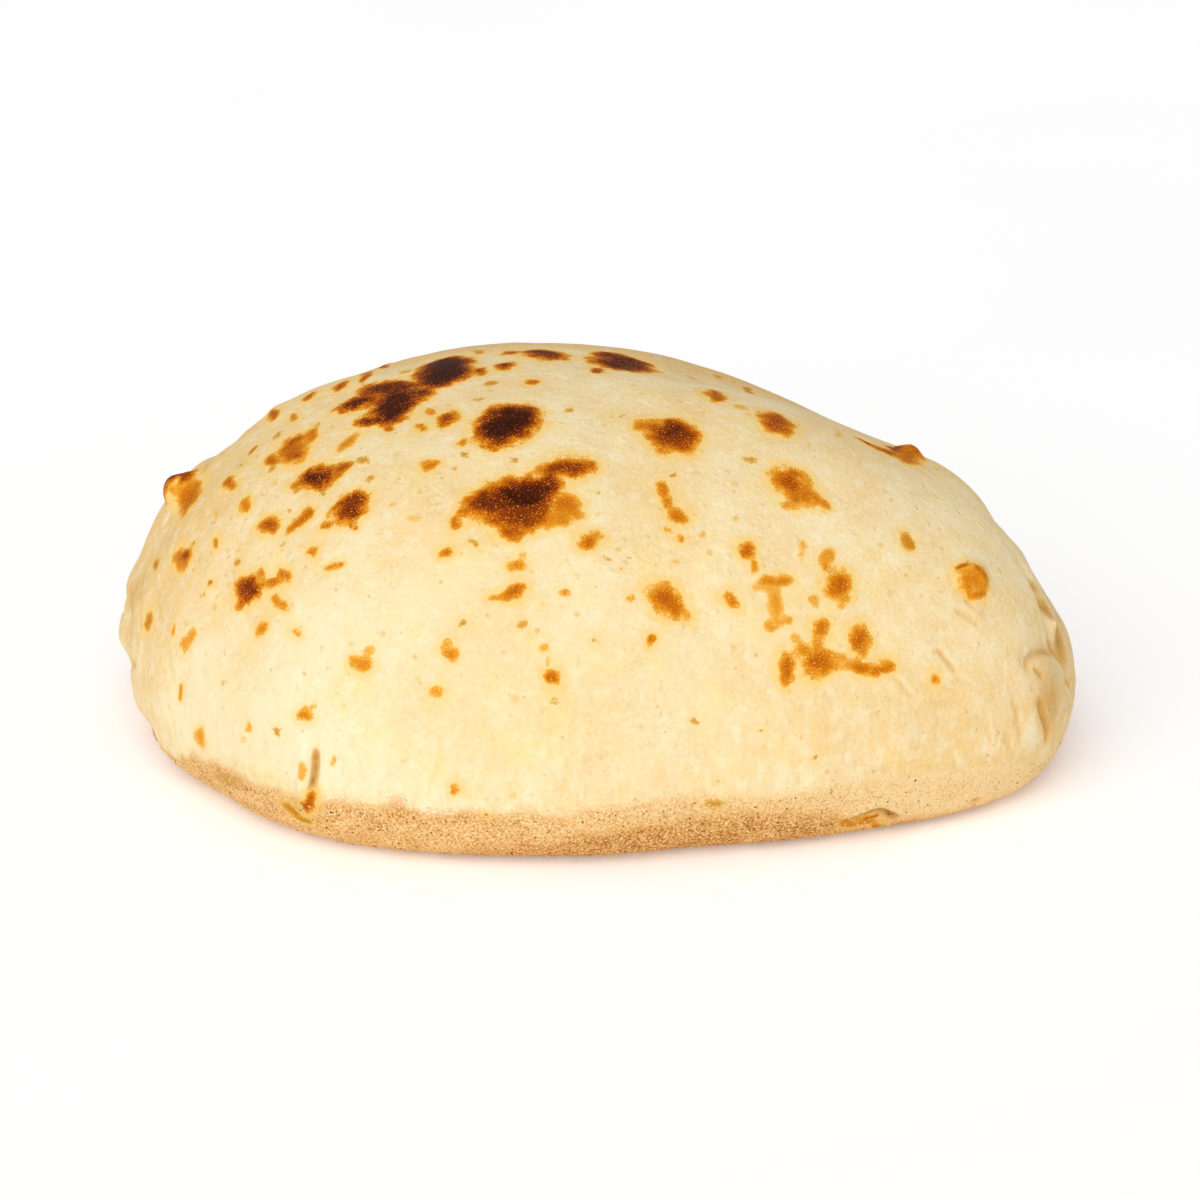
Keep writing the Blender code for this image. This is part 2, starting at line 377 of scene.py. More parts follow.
# Round specks: bearing, elevation, width in millimetres and tone.
SPECKS = (
    (199, 40, 2.2, OLIVE), (211, 40, 2.0, OLIVE), (224.5, 6.5, 2.6, GOLD),
    (230.5, 7, 2.6, OLIVE), (223, 4, 3.2, TAN), (228.5, 0, 1.2, OLIVE),
    (239.5, 14, 1.6, TAN), (233.5, 16, 1.4, TAN), (237, 17.5, 1.2, TAN),
    (217.5, 11, 1.8, OLIVE), (207, 22, 2.0, ORANGE), (206.5, 20, 1.5, OLIVE),
    (196, 25, 2.0, OLIVE), (210, 27, 2.1, OLIVE), (203, 24.5, 1.6, TAN),
    (206.5, 27.5, 1.7, TAN), (218.5, 32, 2.1, OLIVE), (193, 50, 2.2, OLIVE),
    (198, 51, 1.6, TAN), (167.5, 64, 3.0, GOLD), (187.5, 43.5, 3.2, OLIVE),
    (185, 39, 3.2, ORANGE), (191, 39.5, 2.0, TAN), (188, 37, 2.2, OLIVE),
    (220, 49.5, 3.0, OLIVE), (227, 46.5, 2.6, OLIVE), (239, 52, 4.0, ORANGE),
    (218.5, 41.5, 2.2, OLIVE), (214.5, 37, 1.7, OLIVE), (235, 46.5, 1.3, TAN),
    (237, 43.5, 2.0, TAN), (243.5, 42, 2.8, TAN), (204, 39.5, 2.4, TAN),
    (196, 30, 2.4, TAN), (257, 39, 2.3, OLIVE), (251.5, 37, 2.4, ORANGE),
    (262.5, 55.5, 2.0, OLIVE), (246.5, 55.5, 1.9, OLIVE), (245.5, 52.5, 1.6, OLIVE),
    (218, 77, 3.6, OLIVE), (269, 75.5, 1.6, TAN), (232.5, 71, 2.5, OLIVE),
    (24, 60.5, 3.0, OLIVE), (324.5, 69, 2.1, TAN), (303.5, 65.5, 1.7, OLIVE),
    (282, 70, 2.2, OLIVE), (283.5, 48.5, 1.9, OLIVE), (282, 45, 2.0, TAN),
    (282, 36.5, 1.5, OLIVE), (285, 35, 1.5, OLIVE), (286.5, 37, 1.3, OLIVE),
    (297.5, 49.5, 0.9, OLIVE), (295, 35.5, 2.6, TAN), (274, 32, 2.0, GOLD),
    (357.5, 29, 3.2, TAN), (321.5, 47, 3.0, OLIVE), (319.5, 38.5, 2.8, GOLD),
    (314, 24.5, 1.8, GOLD), (331, 27, 3.4, MOSS), (302, 38, 2.0, TAN),
    (314, 36, 1.5, TAN), (309, 39, 2.6, TAN), (303, 49.5, 1.8, OLIVE),
    (336.5, 44.5, 2.0, OLIVE), (259, 23, 1.6, TAN), (257, 26.5, 2.2, OLIVE),
    (266.5, 27, 2.4, OLIVE), (270.5, 30, 1.9, TAN), (274, 31.5, 1.7, GOLD),
    (285, 30.5, 2.2, GOLD), (271.5, 16, 1.7, OLIVE), (277, 11, 1.3, TAN),
    (278.5, 24.5, 1.7, OLIVE), (293, 11, 2.0, OLIVE), (317, 8.5, 1.4, OLIVE),
    (262, -2, 1.2, ORANGE), (302, 9, 1.4, OLIVE), (309, 4, 1.6, OLIVE),
)

# Creases, ridges and dents of the skin that are finer than the solid's own; their stains brown
# some hollows, partly as painted shade.
SKIN_FOLDS = (
    Fold(176, 25.5, 9.5, 8, 0.7, blunt=4.0),      # large blister of the left end
    Fold(175.3, 30.3, 8, 3, 0.0, 0, 0.5),         # tan shadow over it
    Fold(334.5, 19.8, 7.6, 6.2, 0.8, -38, blunt=4.0),  # button of the right side
    Fold(334.6, 19.7, 3.4, 3.0, -0.5),            # its sunken middle
    Fold(334.4, 16.6, 6, 3.5, 0.0, 37, 0.35),     # tan patch under it
    Fold(178, 10.0, 30, 8.0, 2.2, 8),             # filled waist over the left ear
    Fold(171.5, 5.5, 16, 6.0, 1.8, 8),
    Fold(173, 1, 8, 5, 0.7),
    Fold(170, 14, 12, 12, -0.7),                  # slack of the left end
    Fold(189.5, -5.0, 16, 5.0, -2.4, 0, 0.2),     # second notch of the left end
    Fold(164.5, 30.5, 16, 7.0, -1.6, 0),          # waist over the left blister
    Fold(172.6, 27.4, 8, 5, -1.4),
    Fold(167.2, 33.6, 7, 3, -0.9),
    Fold(358, 20.5, 16, 4.0, -1.5, 0),            # notch of the right shoulder
    Fold(358.3, 9.8, 18, 12.0, -1.9, 0),          # slack over the right ledge
    Fold(354.5, 13, 9, 7, -1.3),
    Fold(355, 13.4, 20, 6, -0.9),
    Fold(1, 21, 40, 26, -0.9),                    # slack of the whole right end
    Fold(349, -2, 30, 14, -1.2),
    Fold(183, 8, 16, 22, 0.0, 0, 0.6),            # tanned band of the left ear
    Fold(234, -4, 9, 7, -0.2, 30, 0.7),           # browned foot of the pleat
    Fold(266, 49.3, 7, 5, -0.45, 2),              # sunken middle of the big scorch
    Fold(266, 46.8, 7, 2, 0.3, 2),                # and its lower rim
    Fold(178.5, 21.6, 2, 5, 0.2, 0, -0.8),        # pale drops under the left blister
    Fold(181, 18.5, 1.8, 4, 0.2, 0, -0.7),
    Fold(185.5, 14, 2, 4, 0.2, 0, -0.6),
    Fold(218.8, -3.6, 13, 3.5, 0.0, 12, 1.0),     # brown patch of the sandy crust
    Fold(325, 7.5, 10, 4.5, -0.45, -16, 0.25),    # cup under the right creases
    Fold(320.5, 4.5, 9, 6, 0.3, 0, -0.5),         # pale swelling
    Fold(317.2, 1.2, 5, 2.5, 0.0, -14, 0.3),
    Fold(322.2, 0.8, 5, 2.5, 0.0, -14, 0.3),
    Fold(347.3, 11.6, 6, 3.8, -0.5, 88, 1.2),     # hollow behind the ledge, upper, browned partly as painted shade
    Fold(347.4, 7.4, 9, 4.6, -0.7, 82, 1.3),      # and lower
    Fold(348.4, 14, 4, 2.4, -0.3, 85, 0.9),
    Fold(350.5, 10, 20, 6, 0.0, 84, 0.45),        # its outer lip
    Fold(347.2, 9.7, 2.8, 2.4, 0.7, 0, -0.4),     # bridge between them
    Fold(339, 4, 17, 15, 0.0, -26, 0.65),         # tanned ear fold
    Fold(335.4, 1.4, 9, 6.5, 0.5, 70, -1.0),      # pale pillow in front of it
    Fold(298.5, 12, 4.5, 3.5, -0.3, 80, 0.0),     # soft dents over the foot
    Fold(305.8, 9.5, 5, 3, -0.35, 85, 0.0),
    Fold(302.7, 6, 8.5, 3.5, -0.25, -8, 0.2),
    Fold(317.8, -6.8, 8, 2.4, -0.2, -14, 0.8),    # browned rise under the overhang
    Fold(330.7, -6.2, 3, 2.0, -0.8, 0, 0.8),
)

# Creases and ridges along runs of places; a crease's stain browns its groove, partly as painted
# shade.
SEAMS = (
    Seam(((350, 20), (347.5, 15.5), (346.1, 12.9), (345.1, 11.8), (344.6, 10.2),
          (344.8, 8.4), (345.7, 6.2), (347.2, 4.2)), 2.2, -1.3, 0.75, -0.9),  # ledge, its groove browned partly as painted shade
    Seam(((345.0, 4.2), (347.5, 2.2)), 1.6, -0.8, 0.6),                  # its lower notch
    Seam(((335.6, 7.2), (336.3, 8.6), (337.6, 9.5), (341.0, 8.9), (345.6, 6.7)),
         1.9, -0.9, 0.5, -0.5),                                          # curled ear fold
    Seam(((337.2, 8.3), (338.3, 6.6)), 1.2, -0.5, 0.5),
    Seam(((336.6, 5.4), (337.3, 2.8), (338.6, 0.9), (338.8, -1.6)), 1.8, -0.9, 0.7),
    Seam(((333.2, 6.4), (334.1, 3.5), (333.8, 0.5)), 1.5, -0.4, 0.3),
    Seam(((331.8, 2.6), (332.6, 0.2)), 1.8, -0.3, 0.2),
    Seam(((332.2, 19.8), (333.2, 18.7), (332.9, 16.8)), 1.5, -0.5, 0.35, 0.3),
    Seam(((330.4, 17.8), (331.8, 16.2), (332.7, 14.4)), 1.5, -0.5, 0.35, 0.3),
    Seam(((326.1, 14.5), (326.8, 12.5), (327.6, 10.4)), 1.3, -0.5, 0.6, 0.3),
    Seam(((319.8, 13.2), (320.8, 10.8), (322, 8.6)), 1.3, -0.35, 0.35, 0.2),
    Seam(((176.9, 17), (183, 14.6), (189.5, 13), (192.2, 9.1), (191.0, 5.2)),
         2.4, -0.45, 0.2, 0.3),                                          # edge of the left ear
    Seam(((178, 2.0), (186, 2.6), (192.4, 4.6)), 2.6, -0.9, 0.4),        # notch under it
    Seam(((184, 12), (186.2, 10.6), (187.5, 8.5)), 2.2, -0.3, 0.12, 0.2),  # wrinkles across
    Seam(((180, 9.5), (182.6, 7.4), (186, 6.9)), 2.4, -0.3, 0.12, 0.2),
    Seam(((180.5, 6), (184.4, 5.8), (187.5, 4.4)), 2.0, -0.25, 0.1, 0.2),
    Seam(((183.5, 19.6), (194.6, 15.1), (201.2, 11.5), (205.9, 5.9), (208.9, 2.4)),
         2.6, -0.35, 0.12),                                              # long wrinkle
    Seam(((235.1, 8.2), (235.3, 4.3), (235.5, 1.7), (234.5, -2.2)), 2.4, 0.7, -0.6),
    Seam(((236.7, 7.4), (237.2, 3.9), (237.1, 1.1), (236.3, -3.2)), 2.2, -0.8, 1.9),  # pleat, its groove browned partly as painted shade
    Seam(((312.4, -6.8), (314.8, -6.0), (317, -4.8), (319, -5.4), (322, -7.4)),
         1.7, -1.1, 1.8, 0.6),                                           # overhang
    Seam(((300.3, -3.4), (300.7, -6.4)), 1.2, -0.5, 0.3),                # crevices of the foot
    Seam(((305.2, -3.2), (305.8, -6.6)), 1.2, -0.5, 0.3),
    Seam(((308.8, -4.0), (309.2, -7.2)), 1.2, -0.5, 0.3),
)


def linear(red: int, green: int, blue: int) -> tuple[float, float, float, float]:
    """Shader colour of a paint chip whose channels run from 0 to 255."""
    channels = [c / 255.0 for c in (red, green, blue)]
    bent = [c / 12.92 if c <= 0.04045 else ((c + 0.055) / 1.055) ** 2.4 for c in channels]
    return (*bent, 1.0)


def smooth_step(value: np.ndarray, low: float, high: float) -> np.ndarray:
    """Share from 0 at low to 1 at high, with soft ends."""
    share = np.clip((value - low) / (high - low), 0.0, 1.0)
    return share * share * (3.0 - 2.0 * share)


def grain_noise(points: np.ndarray, size: float, seed: float) -> np.ndarray:
    """Even noise between about -1 and 1 at each point.

    Args:
        points: Places in metres, one row each.
        size: Size of one swell in millimetres.
        seed: Shifts the pattern, so that layers differ.

    Returns:
        One value for each point.
    """
    scaled = points / (size * MM) + np.array([seed, 1.7 * seed, -0.6 * seed])
    return np.array([noise.noise(spot) for spot in scaled.tolist()])


def bell(crust: "CrustMap", fold: Fold, points: np.ndarray) -> np.ndarray:
    """Share from 1 at the middle of a fold to 0 well outside it, for each point."""
    across, rise, out = crust.local(fold.bearing, fold.elevation, fold.turn, points)
    half_long = fold.length * MM / 2.0
    half_wide = fold.width * MM / 2.0
    share = np.sqrt((across / half_long) ** 2 + (rise / half_wide) ** 2)
    return np.exp(-share ** fold.blunt - (out / (fold.length * MM)) ** 2)


class CrustMap:
    """Finds places on the crust from a bearing and an elevation."""

    def __init__(self, body: bpy.types.Object) -> None:
        """Keep the crust's surface and the dome's heart.

        Args:
            body: The mesh whose surface is mapped, with its origin at the frame's.
        """
        peak = max(body.data.vertices, key=lambda vertex: vertex.co.z).co
        self.heart = Vector((peak.x, peak.y, HEART_HEIGHT))
        self.tree = BVHTree.FromObject(body, bpy.context.evaluated_depsgraph_get())

    def axes(self, bearing: float, elevation: float) -> tuple[Vector, Vector, Vector, Vector]:
        """Point of the crust at a place, with its along, upward and outward directions."""
        turn, lift = math.radians(bearing), math.radians(elevation)
        level = Vector((math.cos(turn), math.sin(turn), 0.0))
        ray = level * math.cos(lift) + Vector((0.0, 0.0, math.sin(lift)))
        point = self.tree.ray_cast(self.heart + ray, -ray)[0]
        outward = self.steady_normal(point)
        along = Vector((-math.sin(turn), math.cos(turn), 0.0))
        along = (along - outward * along.dot(outward)).normalized()
        return point, along, outward.cross(along), outward

    def steady_normal(self, point: Vector, reach: float = 3.0 * MM) -> Vector:
        """Outward direction of the crust near a point, free of its smallest bumps."""
        near = self.tree.find_nearest_range(point, reach)
        total = Vector((0.0, 0.0, 0.0))
        for _, outward, _, _ in near:
            total += outward
        return total.normalized()

    def local(self, bearing: float, elevation: float, turn: float,
              points: np.ndarray) -> tuple[np.ndarray, np.ndarray, np.ndarray]:
        """Offsets of points from a place, along a turned long side, across it and out."""
        point, along, upward, outward = (np.array(v) for v in self.axes(bearing, elevation))
        tilt = math.radians(turn)
        long_way = along * math.cos(tilt) + upward * math.sin(tilt)
        short_way = upward * math.cos(tilt) - along * math.sin(tilt)
        offset = points - point
        return offset @ long_way, offset @ short_way, offset @ outward

    def bearings(self, points: np.ndarray) -> np.ndarray:
        """Bearing of each point round the heart, in degrees from 0 to 360."""
        across = points[:, 0] - self.heart.x
        depth = points[:, 1] - self.heart.y
        return np.degrees(np.arctan2(depth, across)) % 360.0


def rounded(places: tuple[tuple[float, float], ...], rounds: int = 2) -> np.ndarray:
    """Run of places with its corners cut off, twice as fine after each round."""
    run = np.array(places, dtype=float)
    for _ in range(rounds):
        near = 0.75 * run[:-1] + 0.25 * run[1:]
        far = 0.25 * run[:-1] + 0.75 * run[1:]
        inner = np.stack([near, far], axis=1).reshape(-1, 2)
        run = np.vstack([run[:1], inner, run[-1:]])
    return run


class SeamLine:
    """A seam laid over the crust as a chain of short links."""

    def __init__(self, crust: CrustMap, seam: Seam) -> None:
        """Find the links on the crust.

        Args:
            crust: The map of the crust.
            seam: The seam to lay.
        """
        self.seam = seam
        feet = [crust.axes(bearing, elevation) for bearing, elevation in rounded(seam.places)]
        self.points = np.array([tuple(foot[0]) for foot in feet]) / MM
        self.outward = np.array([tuple(foot[3]) for foot in feet])

    def apply(self, points: np.ndarray) -> tuple[np.ndarray, np.ndarray]:
        """Lift in millimetres and stain, partly painted shade, that the seam gives each point."""
        lift, stain_and_shade = np.zeros(len(points)), np.zeros(len(points))
        half = self.seam.width / 2.0
        spots = points / MM
        middle = self.points.mean(axis=0)
        reach = np.linalg.norm(self.points - middle, axis=1).max() + 4.0 * self.seam.width
        chosen = np.nonzero(np.linalg.norm(spots - middle, axis=1) < reach)[0]
        away, side, run = self.nearest(spots[chosen])
        ends = smooth_step(run, 0.0, 0.22) * smooth_step(1.0 - run, 0.0, 0.22)
        crease = np.exp(-(away / half) ** 2)
        shoulder = np.exp(-((away * side - 1.9 * half) / (1.3 * half)) ** 2)
        lift[chosen] = ends * (self.seam.height * crease + self.seam.shoulder * shoulder)
        stain_and_shade[chosen] = ends * self.seam.stain_and_shade * np.exp(-(away / (1.15 * half)) ** 2)
        return lift, stain_and_shade

    def nearest(self, spots: np.ndarray) -> tuple[np.ndarray, np.ndarray, np.ndarray]:
        """Distance to the chain, the side (1 left, -1 right) and the share along it."""
        steps = np.diff(self.points, axis=0)
        lengths = np.linalg.norm(steps, axis=1)
        starts = np.concatenate([[0.0], np.cumsum(lengths)])
        away = np.full(len(spots), np.inf)
        side, run = np.ones(len(spots)), np.zeros(len(spots))
        for index, step in enumerate(steps):
            offset = spots - self.points[index]
            along = np.clip(offset @ step / lengths[index] ** 2, 0.0, 1.0)
            gap = offset - along[:, None] * step
            distance = np.linalg.norm(gap, axis=1)
            closer = distance < away
            left = np.cross(self.outward[index], step)
            away[closer] = distance[closer]
            side[closer] = np.where(gap[closer] @ left >= 0.0, 1.0, -1.0)
            run[closer] = ((starts[index] + along * lengths[index]) / starts[-1])[closer]
        return away, side, run


@dataclass
class ScorchField:
    """Browning of every point of the crust, gathered from blots."""

    crust: CrustMap
    points: np.ndarray
    outward: np.ndarray
    merge: float = 0.45
    slope_share: float = 0.58
    slope_most: float = 2.4
    nothing: float = -12.0
    total: np.ndarray = field(init=False)
    heat: np.ndarray = field(init=False)
    core: np.ndarray = field(init=False)
    olive: np.ndarray = field(init=False)
    slope: np.ndarray = field(init=False)

    def __post_init__(self) -> None:
        """Start with a crust that has no mark, and points pushed about a little."""
        count = len(self.points)
        self.total = np.full(count, math.exp(self.nothing / self.merge))
        self.heat = np.zeros(count)
        self.core = np.zeros(count)
        self.olive = np.zeros(count)
        self.slope = np.zeros(count)
        broad = [grain_noise(self.points, 6.0, seed) for seed in (3.1, 7.7, 12.9)]
        close = [grain_noise(self.points, 2.2, seed) for seed in (4.3, 9.1, 15.7)]
        sway = 1.3 * np.stack(broad, axis=1) + 0.45 * np.stack(close, axis=1)
        self.swayed = self.points + sway * MM

    def stamp(self, blot: Blot) -> None:
        """Brown the points that lie in or near one blot."""
        centre, _, _, facing = self.crust.axes(blot.bearing, blot.elevation)
        reach = (blot.length / 2.0 + 5.0) * MM
        near = np.linalg.norm(self.points - np.array(centre), axis=1) < reach
        near &= self.outward @ np.array(facing) > 0.1
        chosen = np.nonzero(near)[0]
        across, rise, _ = self.crust.local(blot.bearing, blot.elevation, blot.turn,
                                           self.swayed[chosen])
        long_half, short_half = blot.length / 2.0, blot.width / 2.0
        across, rise = across / MM, rise / MM
        soft = 0.3 * short_half
        share = np.sqrt((across / long_half) ** 2 + (rise / short_half) ** 2)
        radius = np.sqrt((across ** 2 + rise ** 2 + soft ** 2)
                         / (share ** 2 + (soft / short_half) ** 2))
        depth = (1.0 - share) * radius
        if blot.hollow:
            depth = np.minimum(depth, (share - blot.hollow) * radius)
        weight = np.exp(np.clip(depth, self.nothing, None) / self.merge)
        heat, olive = blot.tone.value
        self.total[chosen] += weight
        self.heat[chosen] += weight * heat
        self.olive[chosen] += weight * olive
        slope = min(self.slope_share * math.sqrt(long_half * short_half), self.slope_most)
        self.slope[chosen] += weight * slope
        inner = heat * smooth_step(depth, -0.5, 1.5)
        self.core[chosen] = np.maximum(self.core[chosen], inner)

    def depth(self) -> np.ndarray:
        """Distance inside the edge of a mark in millimetres, negative outside."""
        return np.log(self.total) * self.merge

    def columns(self) -> np.ndarray:
        """Depth, heat, olive share and depth of the browned slope, one row for each point."""
        heat = np.maximum(self.heat / self.total, self.core)
        return np.stack([self.depth(), heat, self.olive / self.total,
                         self.slope / self.total], axis=1)


@dataclass
class WildScorches:
    """Marks of the sides that face away, thrown with the same kinds and sizes."""

    seed: int = 21
    big_marks: int = 26
    small_marks: int = 46
    specks: int = 80
    first_bearing: float = 8.0
    last_bearing: float = 172.0
    clear_of_shown: float = -0.12

    def hidden(self, crust: CrustMap, blot: Blot) -> bool:
        """Whether a blot lies on the sides that face away from the shown one."""
        outward = crust.axes(blot.bearing, blot.elevation)[3]
        return outward.dot(Vector(SHOWN_SIDE)) < self.clear_of_shown

    def place(self, dice: random.Random, low: float, high: float) -> tuple[float, float]:
        """A random place of the back, evenly spread over the dome between elevations."""
        bearing = dice.uniform(self.first_bearing, self.last_bearing)
        lowest, highest = (math.sin(math.radians(e)) for e in (low, high))
        return bearing, math.degrees(math.asin(dice.uniform(lowest, highest)))

    def blots(self) -> list[Blot]:
        """All the blots of the back, the same on every run."""
        dice = random.Random(self.seed)
        made: list[Blot] = []
        for _ in range(self.big_marks):
            bearing, elevation = self.place(dice, 14.0, 66.0)
            size = dice.uniform(6.0, 15.0)
            tone = BLACK if size > 12.5 else DARK if size > 9.5 else UMBER
            made += self.mark(dice, bearing, elevation, size, tone)
        for _ in range(self.small_marks):
            bearing, elevation = self.place(dice, 2.0, 70.0)
            made += self.mark(dice, bearing, elevation, dice.uniform(2.5, 5.5),
                              dice.choice((ORANGE, AMBER, RUST, GOLD)))[:2]
        for _ in range(self.specks):
            bearing, elevation = self.place(dice, 0.0, 75.0)
            size = dice.uniform(1.2, 2.6)
            made.append(Blot(bearing, elevation, size, size * 0.8, 0.0,
                             dice.choice((OLIVE, TAN, TAN, HONEY))))
        return made

    def mark(self, dice: random.Random, bearing: float, elevation: float, size: float,
             tone: Tone) -> list[Blot]:
        """One ragged mark: a main oval with smaller ones leaning on it.

        Args:
            dice: The random source.
            bearing: Bearing of the mark's middle in degrees.
            elevation: Elevation of the mark's middle in degrees.
            size: Length of the main oval in millimetres.
            tone: How far the main oval is baked.

        Returns:
            The ovals, the main one first.
        """
        made = [Blot(bearing, elevation, size, size * dice.uniform(0.5, 0.85),
                     dice.uniform(-90.0, 90.0), tone)]
        for _ in range(dice.randint(1, 3)):
            side = dice.uniform(0.0, 2.0 * math.pi)
            step = size * 0.32
            spread = max(0.25, math.cos(math.radians(elevation)))
            part = size * dice.uniform(0.3, 0.6)
            made.append(Blot(bearing + step * math.cos(side) * 0.6 / spread,
                             elevation + step * math.sin(side) * 0.6, part,
                             part * dice.uniform(0.45, 0.8), dice.uniform(-90.0, 90.0),
                             dice.choice((RUST, ORANGE, tone))))
        return made


Swells = tuple[tuple[float, float, float], ...]


@dataclass
class HearthLine:
    """Edges and tone of the sandy crust that lay on the oven's floor.

    Each swell is a bearing, its spread in degrees and the amount it adds there.
    """

    height: float = 14.0
    waver: float = 1.1
    swells: Swells = (
        (200.0, 9.0, -6.5),
        (252.0, 12.0, 1.6),
        (288.0, 15.0, 3.2),
        (315.0, 10.0, 2.2),
        (340.0, 9.0, -3.5),
        (20.0, 25.0, -3.0),
        (90.0, 30.0, 1.5),
    )
    brown_height: float = 9.0
    brown_rises: Swells = (
        (228.0, 32.0, -14.0),
        (293.0, 18.0, 2.8),
        (322.0, 8.0, -3.5),
        (338.0, 14.0, -7.0),
    )
    tone: float = 0.05
    tone_swells: Swells = (
        (290.0, 20.0, -0.24),
        (330.0, 20.0, -0.5),
    )

    def swelled(self, base: float, swells: Swells, bearing: np.ndarray) -> np.ndarray:
        """Value at each bearing: its base plus every swell near that bearing."""
        value = np.full(len(bearing), base)
        for centre, spread, amount in swells:
            apart = (bearing - centre + 180.0) % 360.0 - 180.0
            value += amount * np.exp(-(apart / spread) ** 2)
        return value

    def tones(self, crust: CrustMap, points: np.ndarray) -> np.ndarray:
        """How brown the sandy crust is over its brown strip, at each point."""
        return self.swelled(self.tone, self.tone_swells, crust.bearings(points))

    def above_brown(self, crust: CrustMap, points: np.ndarray) -> np.ndarray:
        """Height of each point over the brown strip at the foot, in millimetres."""
        edge = self.swelled(self.brown_height, self.brown_rises, crust.bearings(points))
        edge += 0.8 * self.waver * grain_noise(points * np.array([1.0, 1.0, 0.2]), 6.0, 6.4)
        return points[:, 2] / MM - edge

    def above(self, crust: CrustMap, points: np.ndarray) -> np.ndarray:
        """Height of each point over the edge in millimetres, negative on the sandy crust."""
        edge = self.swelled(self.height, self.swells, crust.bearings(points))
        edge += self.waver * grain_noise(points * np.array([1.0, 1.0, 0.2]), 7.0, 4.2)
        edge += 0.5 * self.waver * grain_noise(points * np.array([1.0, 1.0, 0.2]), 2.4, 8.8)
        return points[:, 2] / MM - edge


class NodeBench:
    """Short hand for wiring the nodes of one material."""

    def __init__(self, name: str) -> None:
        """Open a new node material whose output is one principled shader."""
        self.material = bpy.data.materials.new(name)
        self.material.use_nodes = True
        self.tree = self.material.node_tree
        self.shader = self.tree.nodes["Principled BSDF"]
        self.place = self.tree.nodes.new("ShaderNodeTexCoord").outputs["Object"]

    def feed(self, socket: bpy.types.NodeSocket, value: object) -> None:
        """Link a socket to another socket, or set its plain value."""
        if isinstance(value, bpy.types.NodeSocket):
            self.tree.links.new(value, socket)
        else:
            socket.default_value = value

    def calc(self, operation: str, *values: object) -> bpy.types.NodeSocket:
        """Result of one sum on up to three values."""
        node = self.tree.nodes.new("ShaderNodeMath")
        node.operation = operation
        for socket, value in zip(node.inputs, values):
            self.feed(socket, value)
        return node.outputs[0]

    def ease(self, value: object, low: object, high: object, start: object = 0.0,
             end: object = 1.0) -> bpy.types.NodeSocket:
        """Value that moves softly from start to end while the input goes from low to high."""
        node = self.tree.nodes.new("ShaderNodeMapRange")
        node.interpolation_type = "SMOOTHSTEP"
        for socket, item in zip(node.inputs, (value, low, high, start, end)):
            self.feed(socket, item)
        return node.outputs["Result"]

    def blend(self, share: object, low: object, high: object,
              mode: str = "MIX") -> bpy.types.NodeSocket:
        """Colour between two colours."""
        node = self.tree.nodes.new("ShaderNodeMix")
        node.data_type = "RGBA"
        node.blend_type = mode
        self.feed(node.inputs["Factor"], share)
        self.feed(node.inputs[6], low)
        self.feed(node.inputs[7], high)
        return node.outputs[2]

    def ramp(self, share: object,
             stops: tuple[tuple[float, tuple[float, float, float, float]], ...]
             ) -> bpy.types.NodeSocket:
        """Colour read from a row of stops."""
        node = self.tree.nodes.new("ShaderNodeValToRGB")
        row = node.color_ramp.elements
        while len(row) < len(stops):
            row.new(1.0)
        for element, (position, colour) in zip(row, stops):
            element.position = position
            element.color = colour
        self.feed(node.inputs["Fac"], share)
        return node.outputs["Color"]

    def stretched(self, size: float, seed: float,
                  stretch: tuple[float, float, float]) -> bpy.types.NodeSocket:
        """Coordinates in which one swell of a texture is size millimetres wide."""
        node = self.tree.nodes.new("ShaderNodeMapping")
        node.inputs["Location"].default_value = (seed, seed * 0.37, -seed * 0.71)
        node.inputs["Scale"].default_value = tuple(1.0 / (size * MM * s) for s in stretch)
        self.tree.links.new(self.place, node.inputs["Vector"])
        return node.outputs["Vector"]

    def noise(self, size: float, seed: float, detail: float = 2.0,
              stretch: tuple[float, float, float] = (1.0, 1.0, 1.0)) -> bpy.types.NodeSocket:
        """Cloudy value round 0.5, with swells of a size in millimetres."""
        node = self.tree.nodes.new("ShaderNodeTexNoise")
        node.inputs["Scale"].default_value = 1.0
        node.inputs["Detail"].default_value = detail
        self.tree.links.new(self.stretched(size, seed, stretch), node.inputs["Vector"])
        return node.outputs["Fac"]

    def cells(self, size: float, seed: float,
              stretch: tuple[float, float, float] = (1.0, 1.0, 1.0)
              ) -> tuple[bpy.types.NodeSocket, bpy.types.NodeSocket]:
        """Distance to the nearest of scattered dots in dot spacings, and its lot."""
        node = self.tree.nodes.new("ShaderNodeTexVoronoi")
        node.inputs["Scale"].default_value = 1.0
        self.tree.links.new(self.stretched(size, seed, stretch), node.inputs["Vector"])
        parts = self.tree.nodes.new("ShaderNodeSeparateColor")
        self.tree.links.new(node.outputs["Color"], parts.inputs["Color"])
        return node.outputs["Distance"], parts.outputs["Red"]

    def attribute(self, name: str) -> tuple[bpy.types.NodeSocket, ...]:
        """The four channels of a colour stored on the mesh."""
        node = self.tree.nodes.new("ShaderNodeAttribute")
        node.attribute_name = name
        parts = self.tree.nodes.new("ShaderNodeSeparateColor")
        self.tree.links.new(node.outputs["Color"], parts.inputs["Color"])
        return (*parts.outputs[:3], node.outputs["Alpha"])

    def bump(self, height: object, size: float, strength: float,
             under: bpy.types.NodeSocket | None = None) -> bpy.types.NodeSocket:
        """Normal that stands for a height field of size millimetres from low to high."""
        node = self.tree.nodes.new("ShaderNodeBump")
        node.inputs["Strength"].default_value = strength
        node.inputs["Distance"].default_value = size * MM
        self.feed(node.inputs["Height"], height)
        if under is not None:
            self.tree.links.new(under, node.inputs["Normal"])
        return node.outputs["Normal"]


